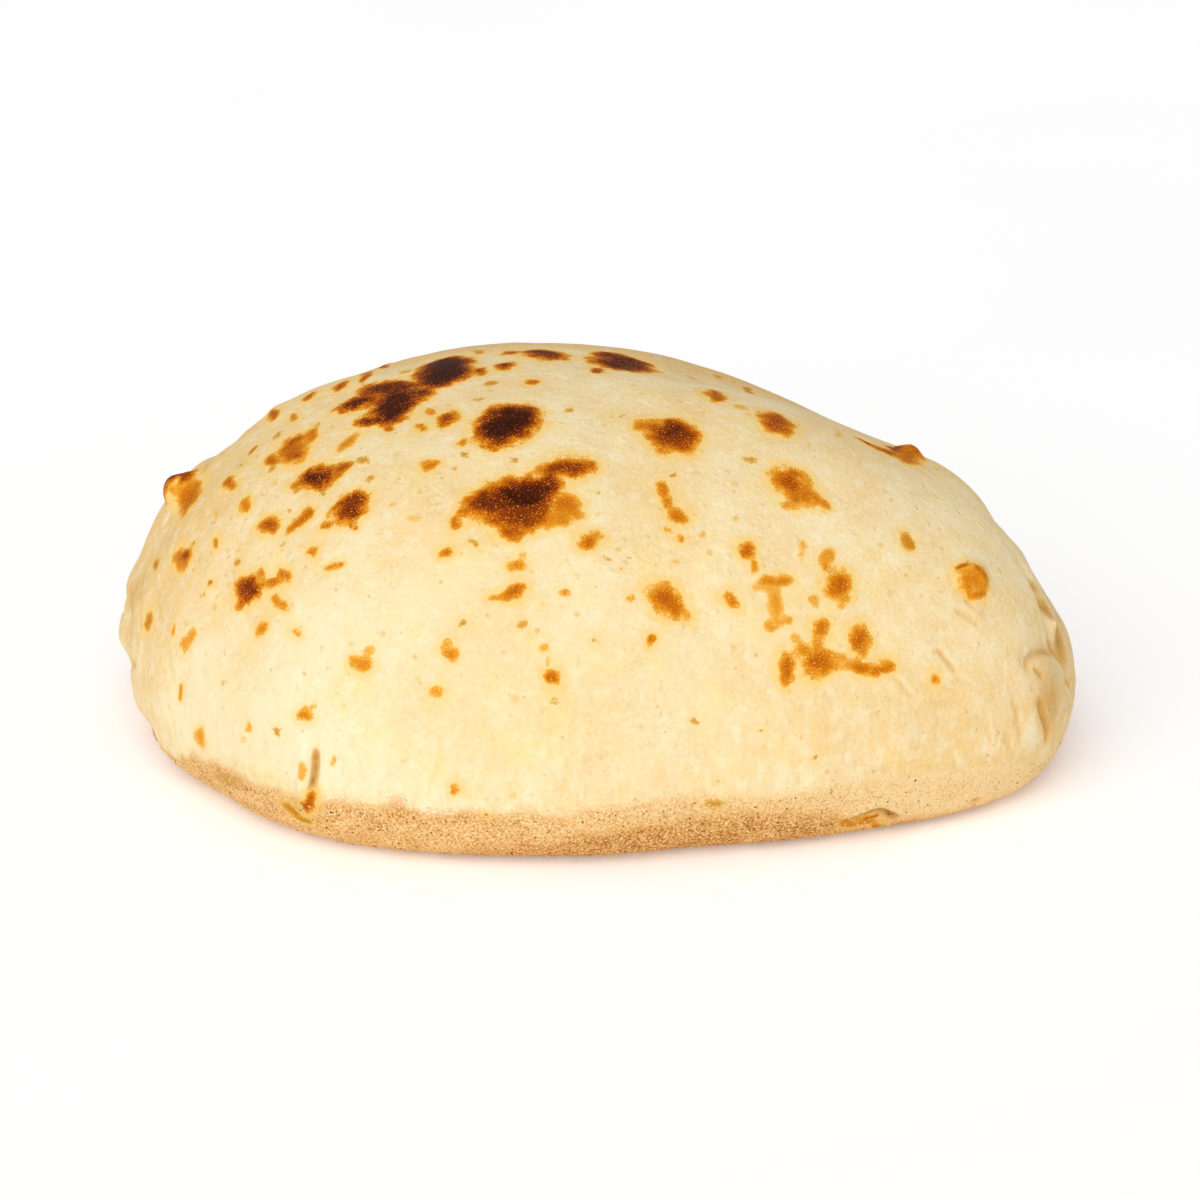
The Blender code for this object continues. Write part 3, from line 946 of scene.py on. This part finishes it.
@dataclass(frozen=True)
class CrustFinish:
    """Pale floury skin, its specks and pits, the browning and the sandy hearth crust."""

    cream: tuple[int, int, int] = (248, 230, 185)
    butter: tuple[int, int, int] = (246, 218, 162)
    toasted: tuple[int, int, int] = (240, 202, 136)
    straw: tuple[int, int, int] = (251, 226, 150)
    flour: tuple[int, int, int] = (251, 238, 204)
    pit: tuple[int, int, int] = (196, 158, 86)
    smudge: tuple[int, int, int] = (226, 190, 112)
    gilt: tuple[int, int, int] = (232, 180, 84)
    halo: tuple[int, int, int] = (249, 206, 116)
    stain_and_shade: tuple[int, int, int] = (214, 162, 82)
    deep_stain_and_shade: tuple[int, int, int] = (146, 88, 22)
    sand_pale: tuple[int, int, int] = (252, 220, 164)
    sand_light: tuple[int, int, int] = (243, 196, 130)
    sand_mid: tuple[int, int, int] = (225, 166, 94)
    sand_dark: tuple[int, int, int] = (170, 110, 46)
    olive: tuple[int, int, int] = (190, 148, 52)
    scorch: tuple[tuple[float, tuple[int, int, int]], ...] = (
        (0.00, (250, 222, 156)),
        (0.10, (249, 212, 130)),
        (0.22, (243, 176, 66)),
        (0.34, (232, 150, 30)),
        (0.46, (214, 122, 8)),
        (0.58, (190, 94, 4)),
        (0.70, (150, 62, 4)),
        (0.82, (112, 43, 6)),
        (0.92, (74, 26, 5)),
        (1.00, (50, 18, 4)),
    )
    roughness: float = 0.68

    def material(self) -> bpy.types.Material:
        """Build the crust's material."""
        bench = NodeBench("baked_crust")
        depth, heat, olive, slope = bench.attribute("scorch")
        hearth, stain_and_shade, toast_and_shade, _ = bench.attribute("crust_marks")
        strip, tone, _, _ = bench.attribute("hearth_marks")
        skin = self.skin(bench, toast_and_shade)
        skin = self.specks(bench, skin)
        sandy, sand_share, sand_height = self.sand(bench, skin, hearth, strip, tone)
        sandy = self.stains_and_shade(bench, sandy, stain_and_shade)
        burnt, colour = self.browning(bench, sandy, depth, heat, olive, slope)
        bench.feed(bench.shader.inputs["Base Color"], colour)
        rough = bench.ease(burnt, 0.1, 0.8, self.roughness, self.roughness - 0.1)
        bench.feed(bench.shader.inputs["Roughness"], rough)
        bench.shader.inputs["Specular IOR Level"].default_value = 0.06
        bench.shader.inputs["Subsurface Weight"].default_value = 0.12
        bench.shader.inputs["Subsurface Radius"].default_value = (1.0, 0.55, 0.25)
        bench.shader.inputs["Subsurface Scale"].default_value = 2.0 * MM
        bench.feed(bench.shader.inputs["Normal"],
                   self.relief(bench, burnt, sand_share, sand_height))
        return bench.material

    def skin(self, bench: NodeBench, toast_and_shade: bpy.types.NodeSocket) -> bpy.types.NodeSocket:
        """Cream, butter and toasted tints in clouds, with flour over them; the toasted tint also
        carries painted shade.
        """
        clouds = bench.ease(bench.noise(30.0, 1.3, 4.0), 0.36, 0.64)
        colour = bench.blend(clouds, linear(*self.cream), linear(*self.butter))
        yellow = bench.ease(bench.noise(9.0, 7.7, 4.0), 0.52, 0.68, 0.0, 0.4)
        colour = bench.blend(yellow, colour, linear(*self.straw))
        # Toasting, with the painted shade of the crown and the far side, mixed in by cloud.
        baked = bench.calc("ADD", toast_and_shade, bench.calc("MULTIPLY_ADD", bench.noise(8.0, 5.1, 5.0),
                                                    1.1, -0.55))
        colour = bench.blend(bench.ease(baked, 0.0, 1.0), colour, linear(*self.toasted))
        dusting = bench.ease(bench.noise(3.0, 9.4, 6.0), 0.48, 0.70, 0.0, 0.4)
        colour = bench.blend(dusting, colour, linear(*self.flour))
        streaks = bench.noise(2.0, 2.2, 5.0, (1.0, 1.0, 2.6))
        low = bench.ease(self.height(bench), 18.0 * MM, 46.0 * MM, 0.3, 0.0)
        share = bench.calc("MULTIPLY", bench.ease(streaks, 0.5, 0.66), low)
        colour = bench.blend(share, colour, linear(*self.flour))
        share = bench.calc("MULTIPLY", bench.ease(streaks, 0.48, 0.34), low)
        colour = bench.blend(share, colour, linear(*self.toasted))
        fine = bench.ease(bench.noise(0.7, 3.9, 3.0), 0.3, 0.7, 0.965, 1.03)
        distance, _ = bench.cells(1.2, 27.0)
        patches = bench.ease(bench.noise(11.0, 28.0, 2.0), 0.42, 0.62, 0.0, 0.05)
        crackle = bench.calc("MULTIPLY", bench.ease(distance, 0.35, 0.8), patches)
        fine = bench.calc("SUBTRACT", fine, crackle)
        tint = bench.tree.nodes.new("ShaderNodeCombineColor")
        for socket in tint.inputs:
            bench.tree.links.new(fine, socket)
        return bench.blend(1.0, colour, tint.outputs["Color"], "MULTIPLY")

    def height(self, bench: NodeBench) -> bpy.types.NodeSocket:
        """Height over the table in metres."""
        node = bench.tree.nodes.new("ShaderNodeSeparateXYZ")
        bench.tree.links.new(bench.place, node.inputs[0])
        return node.outputs["Z"]

    def specks(self, bench: NodeBench, under: bpy.types.NodeSocket) -> bpy.types.NodeSocket:
        """Pits in drifts and stray golden specks over a colour."""
        colour = under
        drifts = bench.ease(bench.noise(15.0, 6.6, 2.0), 0.44, 0.6)
        for size, seed, radius, keep, drift, chip, most in (
                (1.5, 11.0, 0.22, 0.74, drifts, self.pit, 0.5),
                (3.6, 14.5, 0.17, 0.62, 1.0, self.pit, 0.5),
                (6.5, 23.3, 0.20, 0.40, 1.0, self.smudge, 0.5),
                (5.0, 19.1, 0.17, 0.62, 1.0, self.gilt, 0.62),
                (9.0, 17.2, 0.12, 0.5, 1.0, self.gilt, 0.62)):
            distance, lot = bench.cells(size, seed)
            width = bench.calc("MULTIPLY", radius, bench.ease(lot, keep, 1.0, 0.4, 1.0))
            spot = bench.ease(distance, width, bench.calc("MULTIPLY", width, 0.35))
            chosen = bench.calc("GREATER_THAN", lot, keep)
            share = bench.calc("MULTIPLY", bench.calc("MULTIPLY", spot, chosen), drift)
            colour = bench.blend(bench.calc("MULTIPLY", share, most), colour, linear(*chip))
        return colour

    def stains_and_shade(self, bench: NodeBench, under: bpy.types.NodeSocket,
               stain_and_shade: bpy.types.NodeSocket) -> bpy.types.NodeSocket:
        """Tan in the creases, partly as painted shade, and pale on the ridges."""
        rough = bench.calc("MULTIPLY_ADD", bench.noise(1.1, 8.1, 3.0), 0.5, -0.25)
        amount = bench.calc("ADD", stain_and_shade, bench.calc("MULTIPLY", rough, stain_and_shade))
        colour = bench.blend(bench.ease(amount, 0.0, 0.9, 0.0, 0.9), under,
                             linear(*self.stain_and_shade))
        colour = bench.blend(bench.ease(amount, 0.8, 1.8, 0.0, 0.8), colour,
                             linear(*self.deep_stain_and_shade))
        return bench.blend(bench.ease(amount, -0.05, -1.0, 0.0, 0.7), colour,
                           linear(*self.flour))

    def sand(self, bench: NodeBench, under: bpy.types.NodeSocket,
             hearth: bpy.types.NodeSocket, strip: bpy.types.NodeSocket,
             shift: bpy.types.NodeSocket) -> tuple[bpy.types.NodeSocket, ...]:
        """Sandy crust under the hearth line.

        Args:
            bench: The bench of the material.
            under: Colour of the skin over it.
            hearth: Height over the hearth line in millimetres.
            strip: Height over the brown strip at the foot in millimetres.
            shift: How brown the sand is over that strip.

        Returns:
            The joined colour, the sand's share and the height of its grains.
        """
        grains = bench.noise(0.5, 21.0, 3.0)
        coarse = bench.noise(5.0, 23.0, 4.0)
        edge = bench.calc("ADD", hearth, bench.calc("MULTIPLY_ADD", grains, 8.0, -4.0))
        edge = bench.calc("ADD", edge, bench.calc("MULTIPLY_ADD", coarse, 6.0, -3.0))
        share = bench.ease(edge, 0.6, -0.8)
        tone = bench.calc("MULTIPLY_ADD", grains, 2.8, -1.0)
        tone = bench.calc("ADD", tone, bench.calc("MULTIPLY_ADD", coarse, 0.7, -0.35))
        foot = bench.calc("ADD", strip, bench.calc("MULTIPLY_ADD", grains, 6.0, -3.0))
        foot = bench.calc("ADD", foot, bench.calc("MULTIPLY_ADD", coarse, 5.0, -2.5))
        tone = bench.calc("ADD", tone, bench.ease(foot, 2.4, -2.4, shift, 0.28))
        colour = bench.ramp(tone,
                            ((0.0, linear(*self.sand_pale)), (0.35, linear(*self.sand_light)),
                             (0.65, linear(*self.sand_mid)), (1.0, linear(*self.sand_dark))))
        return bench.blend(share, under, colour), share, grains

    def browning(self, bench: NodeBench, under: bpy.types.NodeSocket,
                 depth: bpy.types.NodeSocket, heat: bpy.types.NodeSocket,
                 olive: bpy.types.NodeSocket, slope: bpy.types.NodeSocket
                 ) -> tuple[bpy.types.NodeSocket, bpy.types.NodeSocket]:
        """Scorch marks with a frayed edge, a golden halo, painted glints and a dark heart.

        Args:
            bench: The bench of the material.
            under: Colour of the crust without marks.
            depth: Distance inside a mark's edge in millimetres.
            heat: How far the mark is baked.
            olive: Share of olive in its colour.
            slope: Distance in millimetres over which the browning deepens.

        Returns:
            The browning of each point from 0 to 1, and the joined colour.
        """
        coarse = bench.calc("MULTIPLY_ADD", bench.noise(2.6, 31.0, 3.0), 1.8, -0.4)
        fine = bench.calc("MULTIPLY_ADD", bench.noise(0.5, 33.0, 2.0), 0.9, -0.45)
        broken = bench.calc("MULTIPLY_ADD", bench.noise(0.8, 35.0, 2.0), 2.6, -1.5)
        fray = bench.calc("ADD", bench.calc("ADD", coarse, fine),
                          bench.calc("MULTIPLY", broken, olive))
        inside = bench.calc("MULTIPLY_ADD", fray, slope, depth)
        reach = bench.calc("DIVIDE", bench.calc("MAXIMUM", inside, 0.0), slope)
        reach = bench.calc("POWER", reach, 1.5)
        rise = bench.calc("SUBTRACT", 1.0, bench.calc("EXPONENT",
                                                      bench.calc("MULTIPLY", reach, -1.0)))
        full = bench.calc("MULTIPLY", rise, heat)
        # Painted highlight: golden glint dots lighten the browning.
        glint = bench.ease(bench.noise(0.36, 37.0, 1.0), 0.58, 0.70, 0.0, 0.58)
        glint = bench.calc("MULTIPLY", glint, bench.ease(full, 0.82, 1.0, 1.0, 0.45))
        burnt = bench.calc("MULTIPLY", full, bench.calc("SUBTRACT", 1.0, glint))
        stops = tuple((at, linear(*chip)) for at, chip in self.scorch)
        colour = bench.ramp(burnt, stops)
        green = bench.calc("MULTIPLY", olive, 0.6)
        colour = bench.blend(green, colour, linear(*self.olive))
        halo = bench.calc("MULTIPLY", bench.ease(inside, -1.8, 0.2), 0.65)
        halo = bench.calc("MULTIPLY", halo, bench.ease(heat, 0.2, 0.6))
        ground = bench.blend(halo, under, linear(*self.halo))
        cover = bench.ease(burnt, 0.0, 0.2)
        return burnt, bench.blend(cover, ground, colour)

    def relief(self, bench: NodeBench, burnt: bpy.types.NodeSocket,
               sand_share: bpy.types.NodeSocket, sand_height: bpy.types.NodeSocket
               ) -> bpy.types.NodeSocket:
        """Fine grain of skin, sand and char as a normal."""
        skin = bench.bump(bench.noise(1.8, 41.0, 5.0), 0.35, 0.6)
        distance, lot = bench.cells(2.4, 45.0)
        pimple = bench.calc("MULTIPLY", bench.ease(distance, 0.34, 0.06),
                            bench.ease(lot, 0.62, 0.9))
        skin = bench.bump(pimple, 0.3, 0.7, skin)
        distance, _ = bench.cells(1.2, 27.0)
        skin = bench.bump(bench.ease(distance, 0.8, 0.35), 0.10, 0.5, skin)
        crisp = bench.calc("MULTIPLY", bench.noise(0.7, 43.0, 3.0), bench.ease(burnt, 0.05, 0.5))
        char = bench.bump(crisp, 0.35, 0.8, skin)
        sand = bench.calc("MULTIPLY", bench.calc("SUBTRACT", sand_height, 0.5), sand_share)
        return bench.bump(sand, 0.5, 0.9, char)


@dataclass(frozen=True)
class GrainFinish:
    """Toasted grains and flecks, each a little different in tint."""

    name: str
    light: tuple[int, int, int]
    dark: tuple[int, int, int]
    roughness: float = 0.6

    def material(self) -> bpy.types.Material:
        """Build the grains' material."""
        bench = NodeBench(self.name)
        clouds = bench.ease(bench.noise(0.9, 51.0, 1.0), 0.35, 0.65)
        colour = bench.blend(clouds, linear(*self.light), linear(*self.dark))
        bench.feed(bench.shader.inputs["Base Color"], colour)
        bench.shader.inputs["Specular IOR Level"].default_value = 0.1
        bench.feed(bench.shader.inputs["Roughness"],
                   bench.ease(clouds, 0.0, 1.0, self.roughness, self.roughness + 0.15))
        bench.feed(bench.shader.inputs["Normal"],
                   bench.bump(bench.noise(0.25, 53.0, 2.0), 0.08, 0.6))
        return bench.material


@dataclass
class Crust:
    """The baked skin of the whole bread, with every crease, blister and mark."""

    node: bpy.types.Object
    voxel: float = 1.15 * MM
    smoothing: int = 3
    refine_margin: float = 1.2
    refine_longest: float = 25.0
    line: HearthLine = field(default_factory=HearthLine)

    def build(self) -> bpy.types.Object:
        """Make the crust piece, dress it and put it in the frame."""
        self.piece = self.fine_copy()
        self.map = CrustMap(self.node)
        self.seams = [SeamLine(self.map, seam) for seam in SEAMS]
        self.refine()
        self.shape()
        self.mark()
        self.piece.data.materials.append(CrustFinish().material())
        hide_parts(BREAD_NODE)
        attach(self.piece, BODY)
        return self.piece

    def fine_copy(self) -> bpy.types.Object:
        """Smooth, evenly meshed copy of the solid."""
        soft = bmesh.new()
        soft.from_mesh(self.node.data)
        bmesh.ops.remove_doubles(soft, verts=soft.verts, dist=0.001 * MM)
        bmesh.ops.join_triangles(soft, faces=soft.faces, angle_face_threshold=math.radians(35),
                                 angle_shape_threshold=math.radians(60))
        mesh = bpy.data.meshes.new("crust_cage")
        soft.to_mesh(mesh)
        soft.free()
        cage = bpy.data.objects.new("crust_cage", mesh)
        bpy.context.scene.collection.objects.link(cage)
        rounder = cage.modifiers.new("round", "SUBSURF")
        rounder.levels = rounder.render_levels = 2
        even = cage.modifiers.new("even", "REMESH")
        even.mode = "VOXEL"
        even.voxel_size = self.voxel
        calm = cage.modifiers.new("calm", "SMOOTH")
        calm.factor = 0.5
        calm.iterations = self.smoothing
        done = cage.evaluated_get(bpy.context.evaluated_depsgraph_get())
        piece = bpy.data.objects.new("baked_crust", bpy.data.meshes.new_from_object(done))
        bpy.data.objects.remove(cage)
        bpy.context.scene.collection.objects.link(piece)
        piece.data.materials.clear()
        piece.data.shade_smooth()
        return piece

    def refine(self) -> None:
        """Halve the faces at each fold and blister, where the form is finest."""
        points, _ = self.arrays()
        close = np.zeros(len(points), dtype=bool)
        for fold in SKIN_FOLDS:
            if fold.length > self.refine_longest:
                continue
            across, rise, out = self.map.local(fold.bearing, fold.elevation, fold.turn, points)
            reach = (fold.length / 2.0 + self.refine_margin) * MM
            spread = (fold.width / 2.0 + self.refine_margin) * MM
            close |= (across / reach) ** 2 + (rise / spread) ** 2 + (out / reach) ** 2 < 1.0
        for seam in self.seams:
            wide = seam.seam.width + self.refine_margin
            near = seam.nearest(points / MM)[0] < wide
            close |= near
        fine = bmesh.new()
        fine.from_mesh(self.piece.data)
        fine.verts.ensure_lookup_table()
        edges = [edge for edge in fine.edges
                 if close[edge.verts[0].index] and close[edge.verts[1].index]]
        bmesh.ops.subdivide_edges(fine, edges=edges, cuts=1, use_grid_fill=True)
        bmesh.ops.triangulate(fine, faces=[face for face in fine.faces if len(face.verts) > 4])
        fine.to_mesh(self.piece.data)
        fine.free()
        self.piece.data.shade_smooth()

    def arrays(self) -> tuple[np.ndarray, np.ndarray]:
        """Places and outward directions of the crust's vertices."""
        mesh = self.piece.data
        points = np.zeros(len(mesh.vertices) * 3)
        outward = np.zeros(len(mesh.vertices) * 3)
        mesh.vertices.foreach_get("co", points)
        mesh.vertex_normals.foreach_get("vector", outward)
        return points.reshape(-1, 3), outward.reshape(-1, 3)

    def shape(self) -> None:
        """Raise the swells, ripples, folds and blistered marks."""
        points, outward = self.arrays()
        free = smooth_step(points[:, 2], 0.4 * MM, 3.0 * MM)
        lift = 0.34 * grain_noise(points, 24.0, 1.0)
        lift += 0.16 * grain_noise(points, 10.0, 2.0)
        lift += 0.07 * grain_noise(points, 4.5, 3.0)
        streaked = points * np.array([1.0, 1.0, 0.28])
        low = 1.0 - smooth_step(points[:, 2], 26.0 * MM, 44.0 * MM)
        lift += 0.14 * low * grain_noise(streaked, 4.2, 6.0)
        sandy = smooth_step(-self.line.above(self.map, points), -0.6, 0.8)
        lift += sandy * (0.10 * grain_noise(points, 1.9, 9.0) + 0.12)
        # Painted shade: the skin is tanned from 8 mm to 30 mm towards the back, standing for the
        # shade along the crown's edge.
        self.stain_and_shade = 0.3 * smooth_step(points[:, 1], 8.0 * MM, 30.0 * MM)
        left = smooth_step(-points[:, 0], 20.0 * MM, 60.0 * MM)
        left *= 1.0 - smooth_step(-points[:, 0], 84.0 * MM, 96.0 * MM)
        left *= smooth_step(self.line.above(self.map, points), 0.5, 4.0)
        self.stain_and_shade -= 0.55 * left * (1.0 - smooth_step(points[:, 2], 24.0 * MM, 42.0 * MM))
        for fold in SKIN_FOLDS:
            share = bell(self.map, fold, points)
            lift += fold.height * share
            self.stain_and_shade += fold.stain_and_shade * share
        for seam in self.seams:
            raised, seam_stain_and_shade = seam.apply(points)
            lift += raised
            self.stain_and_shade += seam_stain_and_shade
        self.scorches = self.gather(points, outward)
        depth, heat, _, _ = self.scorches.T
        burnt = smooth_step(depth, -0.4, 2.4) * smooth_step(heat, 0.5, 0.95)
        lift += burnt * (0.32 + 0.14 * grain_noise(points, 2.6, 13.0))
        moved = points + outward * (lift * free * MM)[:, None]
        moved[:, 2] = np.maximum(moved[:, 2], 0.0)
        self.piece.data.vertices.foreach_set("co", moved.ravel())
        self.piece.data.update()

    def gather(self, points: np.ndarray, outward: np.ndarray) -> np.ndarray:
        """Browning columns from the marks of the shown side and of the back."""
        browning = ScorchField(self.map, points, outward)
        for name, blots in SCORCH_MARKS.items():
            for blot in blots:
                browning.stamp(blot)
            LOG.info("scorch mark %s: %d ovals", name, len(blots))
        for bearing, elevation, width, tone in SPECKS:
            browning.stamp(Blot(bearing, elevation, width * 1.15, width * 0.9, 0.0, tone))
        wild = WildScorches()
        for blot in wild.blots():
            if wild.hidden(self.map, blot):
                browning.stamp(blot)
        return browning.columns()

    def mark(self) -> None:
        """Store the browning, hearth line, stains and toasting, both with painted shade, on the
        mesh.
        """
        points, _ = self.arrays()
        scorch = self.piece.data.attributes.new("scorch", "FLOAT_COLOR", "POINT")
        scorch.data.foreach_set("color", self.scorches.ravel())
        blank = np.zeros(len(points))
        marks = np.stack([self.line.above(self.map, points), self.stain_and_shade,
                          self.toast_and_painted_shade(points / MM), blank], axis=1)
        other = self.piece.data.attributes.new("crust_marks", "FLOAT_COLOR", "POINT")
        other.data.foreach_set("color", marks.ravel())
        foot = np.stack([self.line.above_brown(self.map, points),
                         self.line.tones(self.map, points), blank, blank], axis=1)
        third = self.piece.data.attributes.new("hearth_marks", "FLOAT_COLOR", "POINT")
        third.data.foreach_set("color", foot.ravel())

    def toast_and_painted_shade(self, spots: np.ndarray) -> np.ndarray:
        """How toasted the skin is at each place in millimetres, from 0 to about 1, with painted
        shade towards the crown and the far side added in.
        """
        across, depth, height = spots.T
        low = 1.0 - smooth_step(height, 15.0, 42.0)
        toast_and_shade = 0.08 + 0.24 * smooth_step(across, 10.0, 85.0)
        toast_and_shade += 0.15 * smooth_step(across, 92.0, 108.0)
        toast_and_shade += 0.75 * smooth_step(-across, 72.0, 102.0)
        toast_and_shade += 0.45 * smooth_step(-across, 50.0, 85.0) * smooth_step(height, 38.0, 58.0)
        # Painted shade: darker towards the crown, standing for the shade of the top.
        toast_and_shade += 0.26 * smooth_step(height, 56.0, 78.0)
        # Painted shade: darker on the far side, standing for the shade along the crown's edge.
        toast_and_shade += 0.75 * smooth_step(depth, 2.0, 26.0)
        toast_and_shade += low * 0.34 * smooth_step(across, 15.0, 70.0)
        return toast_and_shade - low * 0.4 * smooth_step(-across, -10.0, 30.0)


@dataclass
class Grains:
    """Loose-looking grains baked into the sandy crust, all joined in one piece."""

    name: str
    crust: Crust
    finish: GrainFinish
    count: int
    smallest: float
    largest: float
    sunk: float
    seed: int
    highest: float = 1.5

    def build(self) -> bpy.types.Object:
        """Scatter the grains over the sandy crust and put them in the frame."""
        places, outward = self.places()
        dice = np.random.default_rng(self.seed)
        shape, faces = self.pebble()
        sizes = dice.uniform(self.smallest, self.largest, len(places)) * MM / 2.0
        turns = self.turns(dice, len(places))
        squash = dice.uniform(0.6, 1.0, (len(places), 3))
        rough = 1.0 + dice.uniform(-0.18, 0.18, (len(places), len(shape), 1))
        grains = shape[None] * squash[:, None, :] * rough * sizes[:, None, None]
        grains = np.einsum("nij,nvj->nvi", turns, grains)
        centres = places - outward * (sizes * self.sunk)[:, None]
        vertices = (grains + centres[:, None, :]).reshape(-1, 3)
        vertices[:, 2] = np.maximum(vertices[:, 2], 0.0)
        steps = np.arange(len(places))[:, None, None] * len(shape)
        corners = (faces[None] + steps).reshape(-1, 3)
        mesh = bpy.data.meshes.new(self.name)
        mesh.from_pydata(vertices.tolist(), [], corners.tolist())
        mesh.shade_smooth()
        piece = bpy.data.objects.new(self.name, mesh)
        bpy.context.scene.collection.objects.link(piece)
        mesh.materials.append(self.finish.material())
        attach(piece, BODY)
        return piece

    def pebble(self) -> tuple[np.ndarray, np.ndarray]:
        """Corners and triangles of one grain before it is bent out of round."""
        ball = bmesh.new()
        bmesh.ops.create_icosphere(ball, subdivisions=1, radius=1.0)
        shape = np.array([vertex.co[:] for vertex in ball.verts])
        faces = np.array([[vertex.index for vertex in face.verts] for face in ball.faces])
        ball.free()
        return shape, faces

    def turns(self, dice: np.random.Generator, count: int) -> np.ndarray:
        """One random rotation for each grain."""
        quats = dice.normal(size=(count, 4))
        w, x, y, z = (quats / np.linalg.norm(quats, axis=1)[:, None]).T
        rows = [[1 - 2 * (y * y + z * z), 2 * (x * y - z * w), 2 * (x * z + y * w)],
                [2 * (x * y + z * w), 1 - 2 * (x * x + z * z), 2 * (y * z - x * w)],
                [2 * (x * z - y * w), 2 * (y * z + x * w), 1 - 2 * (x * x + y * y)]]
        return np.array(rows).transpose(2, 0, 1)

    def places(self) -> tuple[np.ndarray, np.ndarray]:
        """Places on the sandy crust, spread by area, with their outward directions."""
        mesh = self.crust.piece.data
        mesh.calc_loop_triangles()
        points, outward = self.crust.arrays()
        triangles = np.zeros(len(mesh.loop_triangles) * 3, dtype=int)
        mesh.loop_triangles.foreach_get("vertices", triangles)
        triangles = triangles.reshape(-1, 3)
        middle = points[triangles].mean(axis=1)
        above = self.crust.line.above(self.crust.map, middle)
        open_air = (above < self.highest) & (middle[:, 2] > 0.5 * MM)
        triangles, above = triangles[open_air], above[open_air]
        first, second, third = (points[triangles[:, i]] for i in range(3))
        area = np.linalg.norm(np.cross(second - first, third - first), axis=1)
        area *= smooth_step(-above, -self.highest, 1.5)
        dice = np.random.default_rng(self.seed + 1)
        chosen = dice.choice(len(triangles), self.count, p=area / area.sum())
        share = dice.dirichlet((1.0, 1.0, 1.0), self.count)
        corners = triangles[chosen]
        places = np.einsum("nk,nkj->nj", share, points[corners])
        facing = np.einsum("nk,nkj->nj", share, outward[corners])
        return places, facing / np.linalg.norm(facing, axis=1)[:, None]


@dataclass
class Studio:
    """Plain pale floor, bright even light and the camera."""

    low: Vector
    high: Vector
    floor_width: float = 12.0
    light_spread: float = 60.0
    camera_distance: float = 0.76
    camera_elevation: float = 20.0
    aim: tuple[float, float, float] = (2.0 * MM, 0.0, 29.5 * MM)
    lens: float = 100.0
    sensor: float = 36.0

    def build(self) -> None:
        """Make the floor, the lights, the sky and the camera."""
        self.floor()
        self.sky()
        self.lamp("key_light", -17.0, 43.0, 1.8)
        self.camera()

    def floor(self) -> None:
        """Wide sheet of matt white board under the bread."""
        mesh = bpy.data.meshes.new("studio_floor")
        half = self.floor_width / 2.0
        corners = [(-half, -half, 0.0), (half, -half, 0.0), (half, half, 0.0), (-half, half, 0.0)]
        mesh.from_pydata(corners, [], [(0, 1, 2, 3)])
        floor = bpy.data.objects.new("studio_floor", mesh)
        bpy.context.scene.collection.objects.link(floor)
        bench = NodeBench("white_board")
        tone = bench.ease(bench.noise(400.0, 61.0, 2.0), 0.3, 0.7)
        bench.feed(bench.shader.inputs["Base Color"],
                   bench.blend(tone, (0.93, 0.93, 0.93, 1.0), (0.96, 0.96, 0.96, 1.0)))
        bench.shader.inputs["Roughness"].default_value = 0.95
        bench.shader.inputs["Specular IOR Level"].default_value = 0.0
        bench.shader.inputs["Emission Color"].default_value = (1.0, 1.0, 1.0, 1.0)
        bench.shader.inputs["Emission Strength"].default_value = 0.2
        mesh.materials.append(bench.material)

    def sky(self) -> None:
        """Even white surroundings."""
        world = bpy.data.worlds.new("white_room")
        world.use_nodes = True
        backdrop = world.node_tree.nodes["Background"]
        backdrop.inputs["Color"].default_value = (1.0, 1.0, 1.0, 1.0)
        backdrop.inputs["Strength"].default_value = 0.45
        scene = bpy.context.scene
        scene.world = world
        scene.view_settings.view_transform = "Standard"
        scene.view_settings.look = "None"

    def lamp(self, name: str, azimuth: float, elevation: float, strength: float) -> None:
        """Wide soft light from far off.

        Args:
            name: Name of the light.
            azimuth: Where it stands round the bread, 0 in front and 90 at the right.
            elevation: Its angle over the floor in degrees.
            strength: How bright it is.
        """
        light = bpy.data.lights.new(name, "SUN")
        light.angle = math.radians(self.light_spread)
        light.energy = strength
        lamp = bpy.data.objects.new(name, light)
        turn, lift = math.radians(azimuth), math.radians(elevation)
        away = Vector((math.sin(turn) * math.cos(lift), -math.cos(turn) * math.cos(lift),
                       math.sin(lift)))
        lamp.location = away
        lamp.rotation_euler = away.to_track_quat("Z", "Y").to_euler()
        bpy.context.scene.collection.objects.link(lamp)

    def camera(self) -> None:
        """Camera in front of the bread, looking slightly down."""
        data = bpy.data.cameras.new("camera")
        data.lens = self.lens
        data.sensor_width = self.sensor
        camera = bpy.data.objects.new("camera", data)
        lift = math.radians(self.camera_elevation)
        back = Vector((0.0, -math.cos(lift), math.sin(lift)))
        camera.location = Vector(self.aim) + back * self.camera_distance
        camera.rotation_euler = (math.radians(90.0 - self.camera_elevation), 0.0, 0.0)
        bpy.context.scene.collection.objects.link(camera)
        bpy.context.scene.camera = camera


def report(piece: bpy.types.Object) -> None:
    """Log a finished piece and how many faces it has."""
    LOG.info("%s: %d faces", piece.name, len(piece.data.polygons))


def main() -> None:
    """Build the studio, the crust and its grains, in that order."""
    logging.basicConfig(level=logging.INFO, format="%(name)s: %(message)s")
    Studio(*CAD_BOX).build()
    crust = Crust(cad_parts[BREAD_NODE])
    report(crust.build())
    toasted = GrainFinish("toasted_grain", (252, 218, 154), (226, 172, 102))
    report(Grains("toasted_grains", crust, toasted, 5200, 0.45, 0.85, 0.35, 5).build())
    bran = GrainFinish("bran_fleck", (84, 48, 18), (44, 24, 10))
    report(Grains("bran_flecks", crust, bran, 520, 0.3, 0.6, 0.2, 8, -0.4).build())


if __name__ == "__main__":
    main()
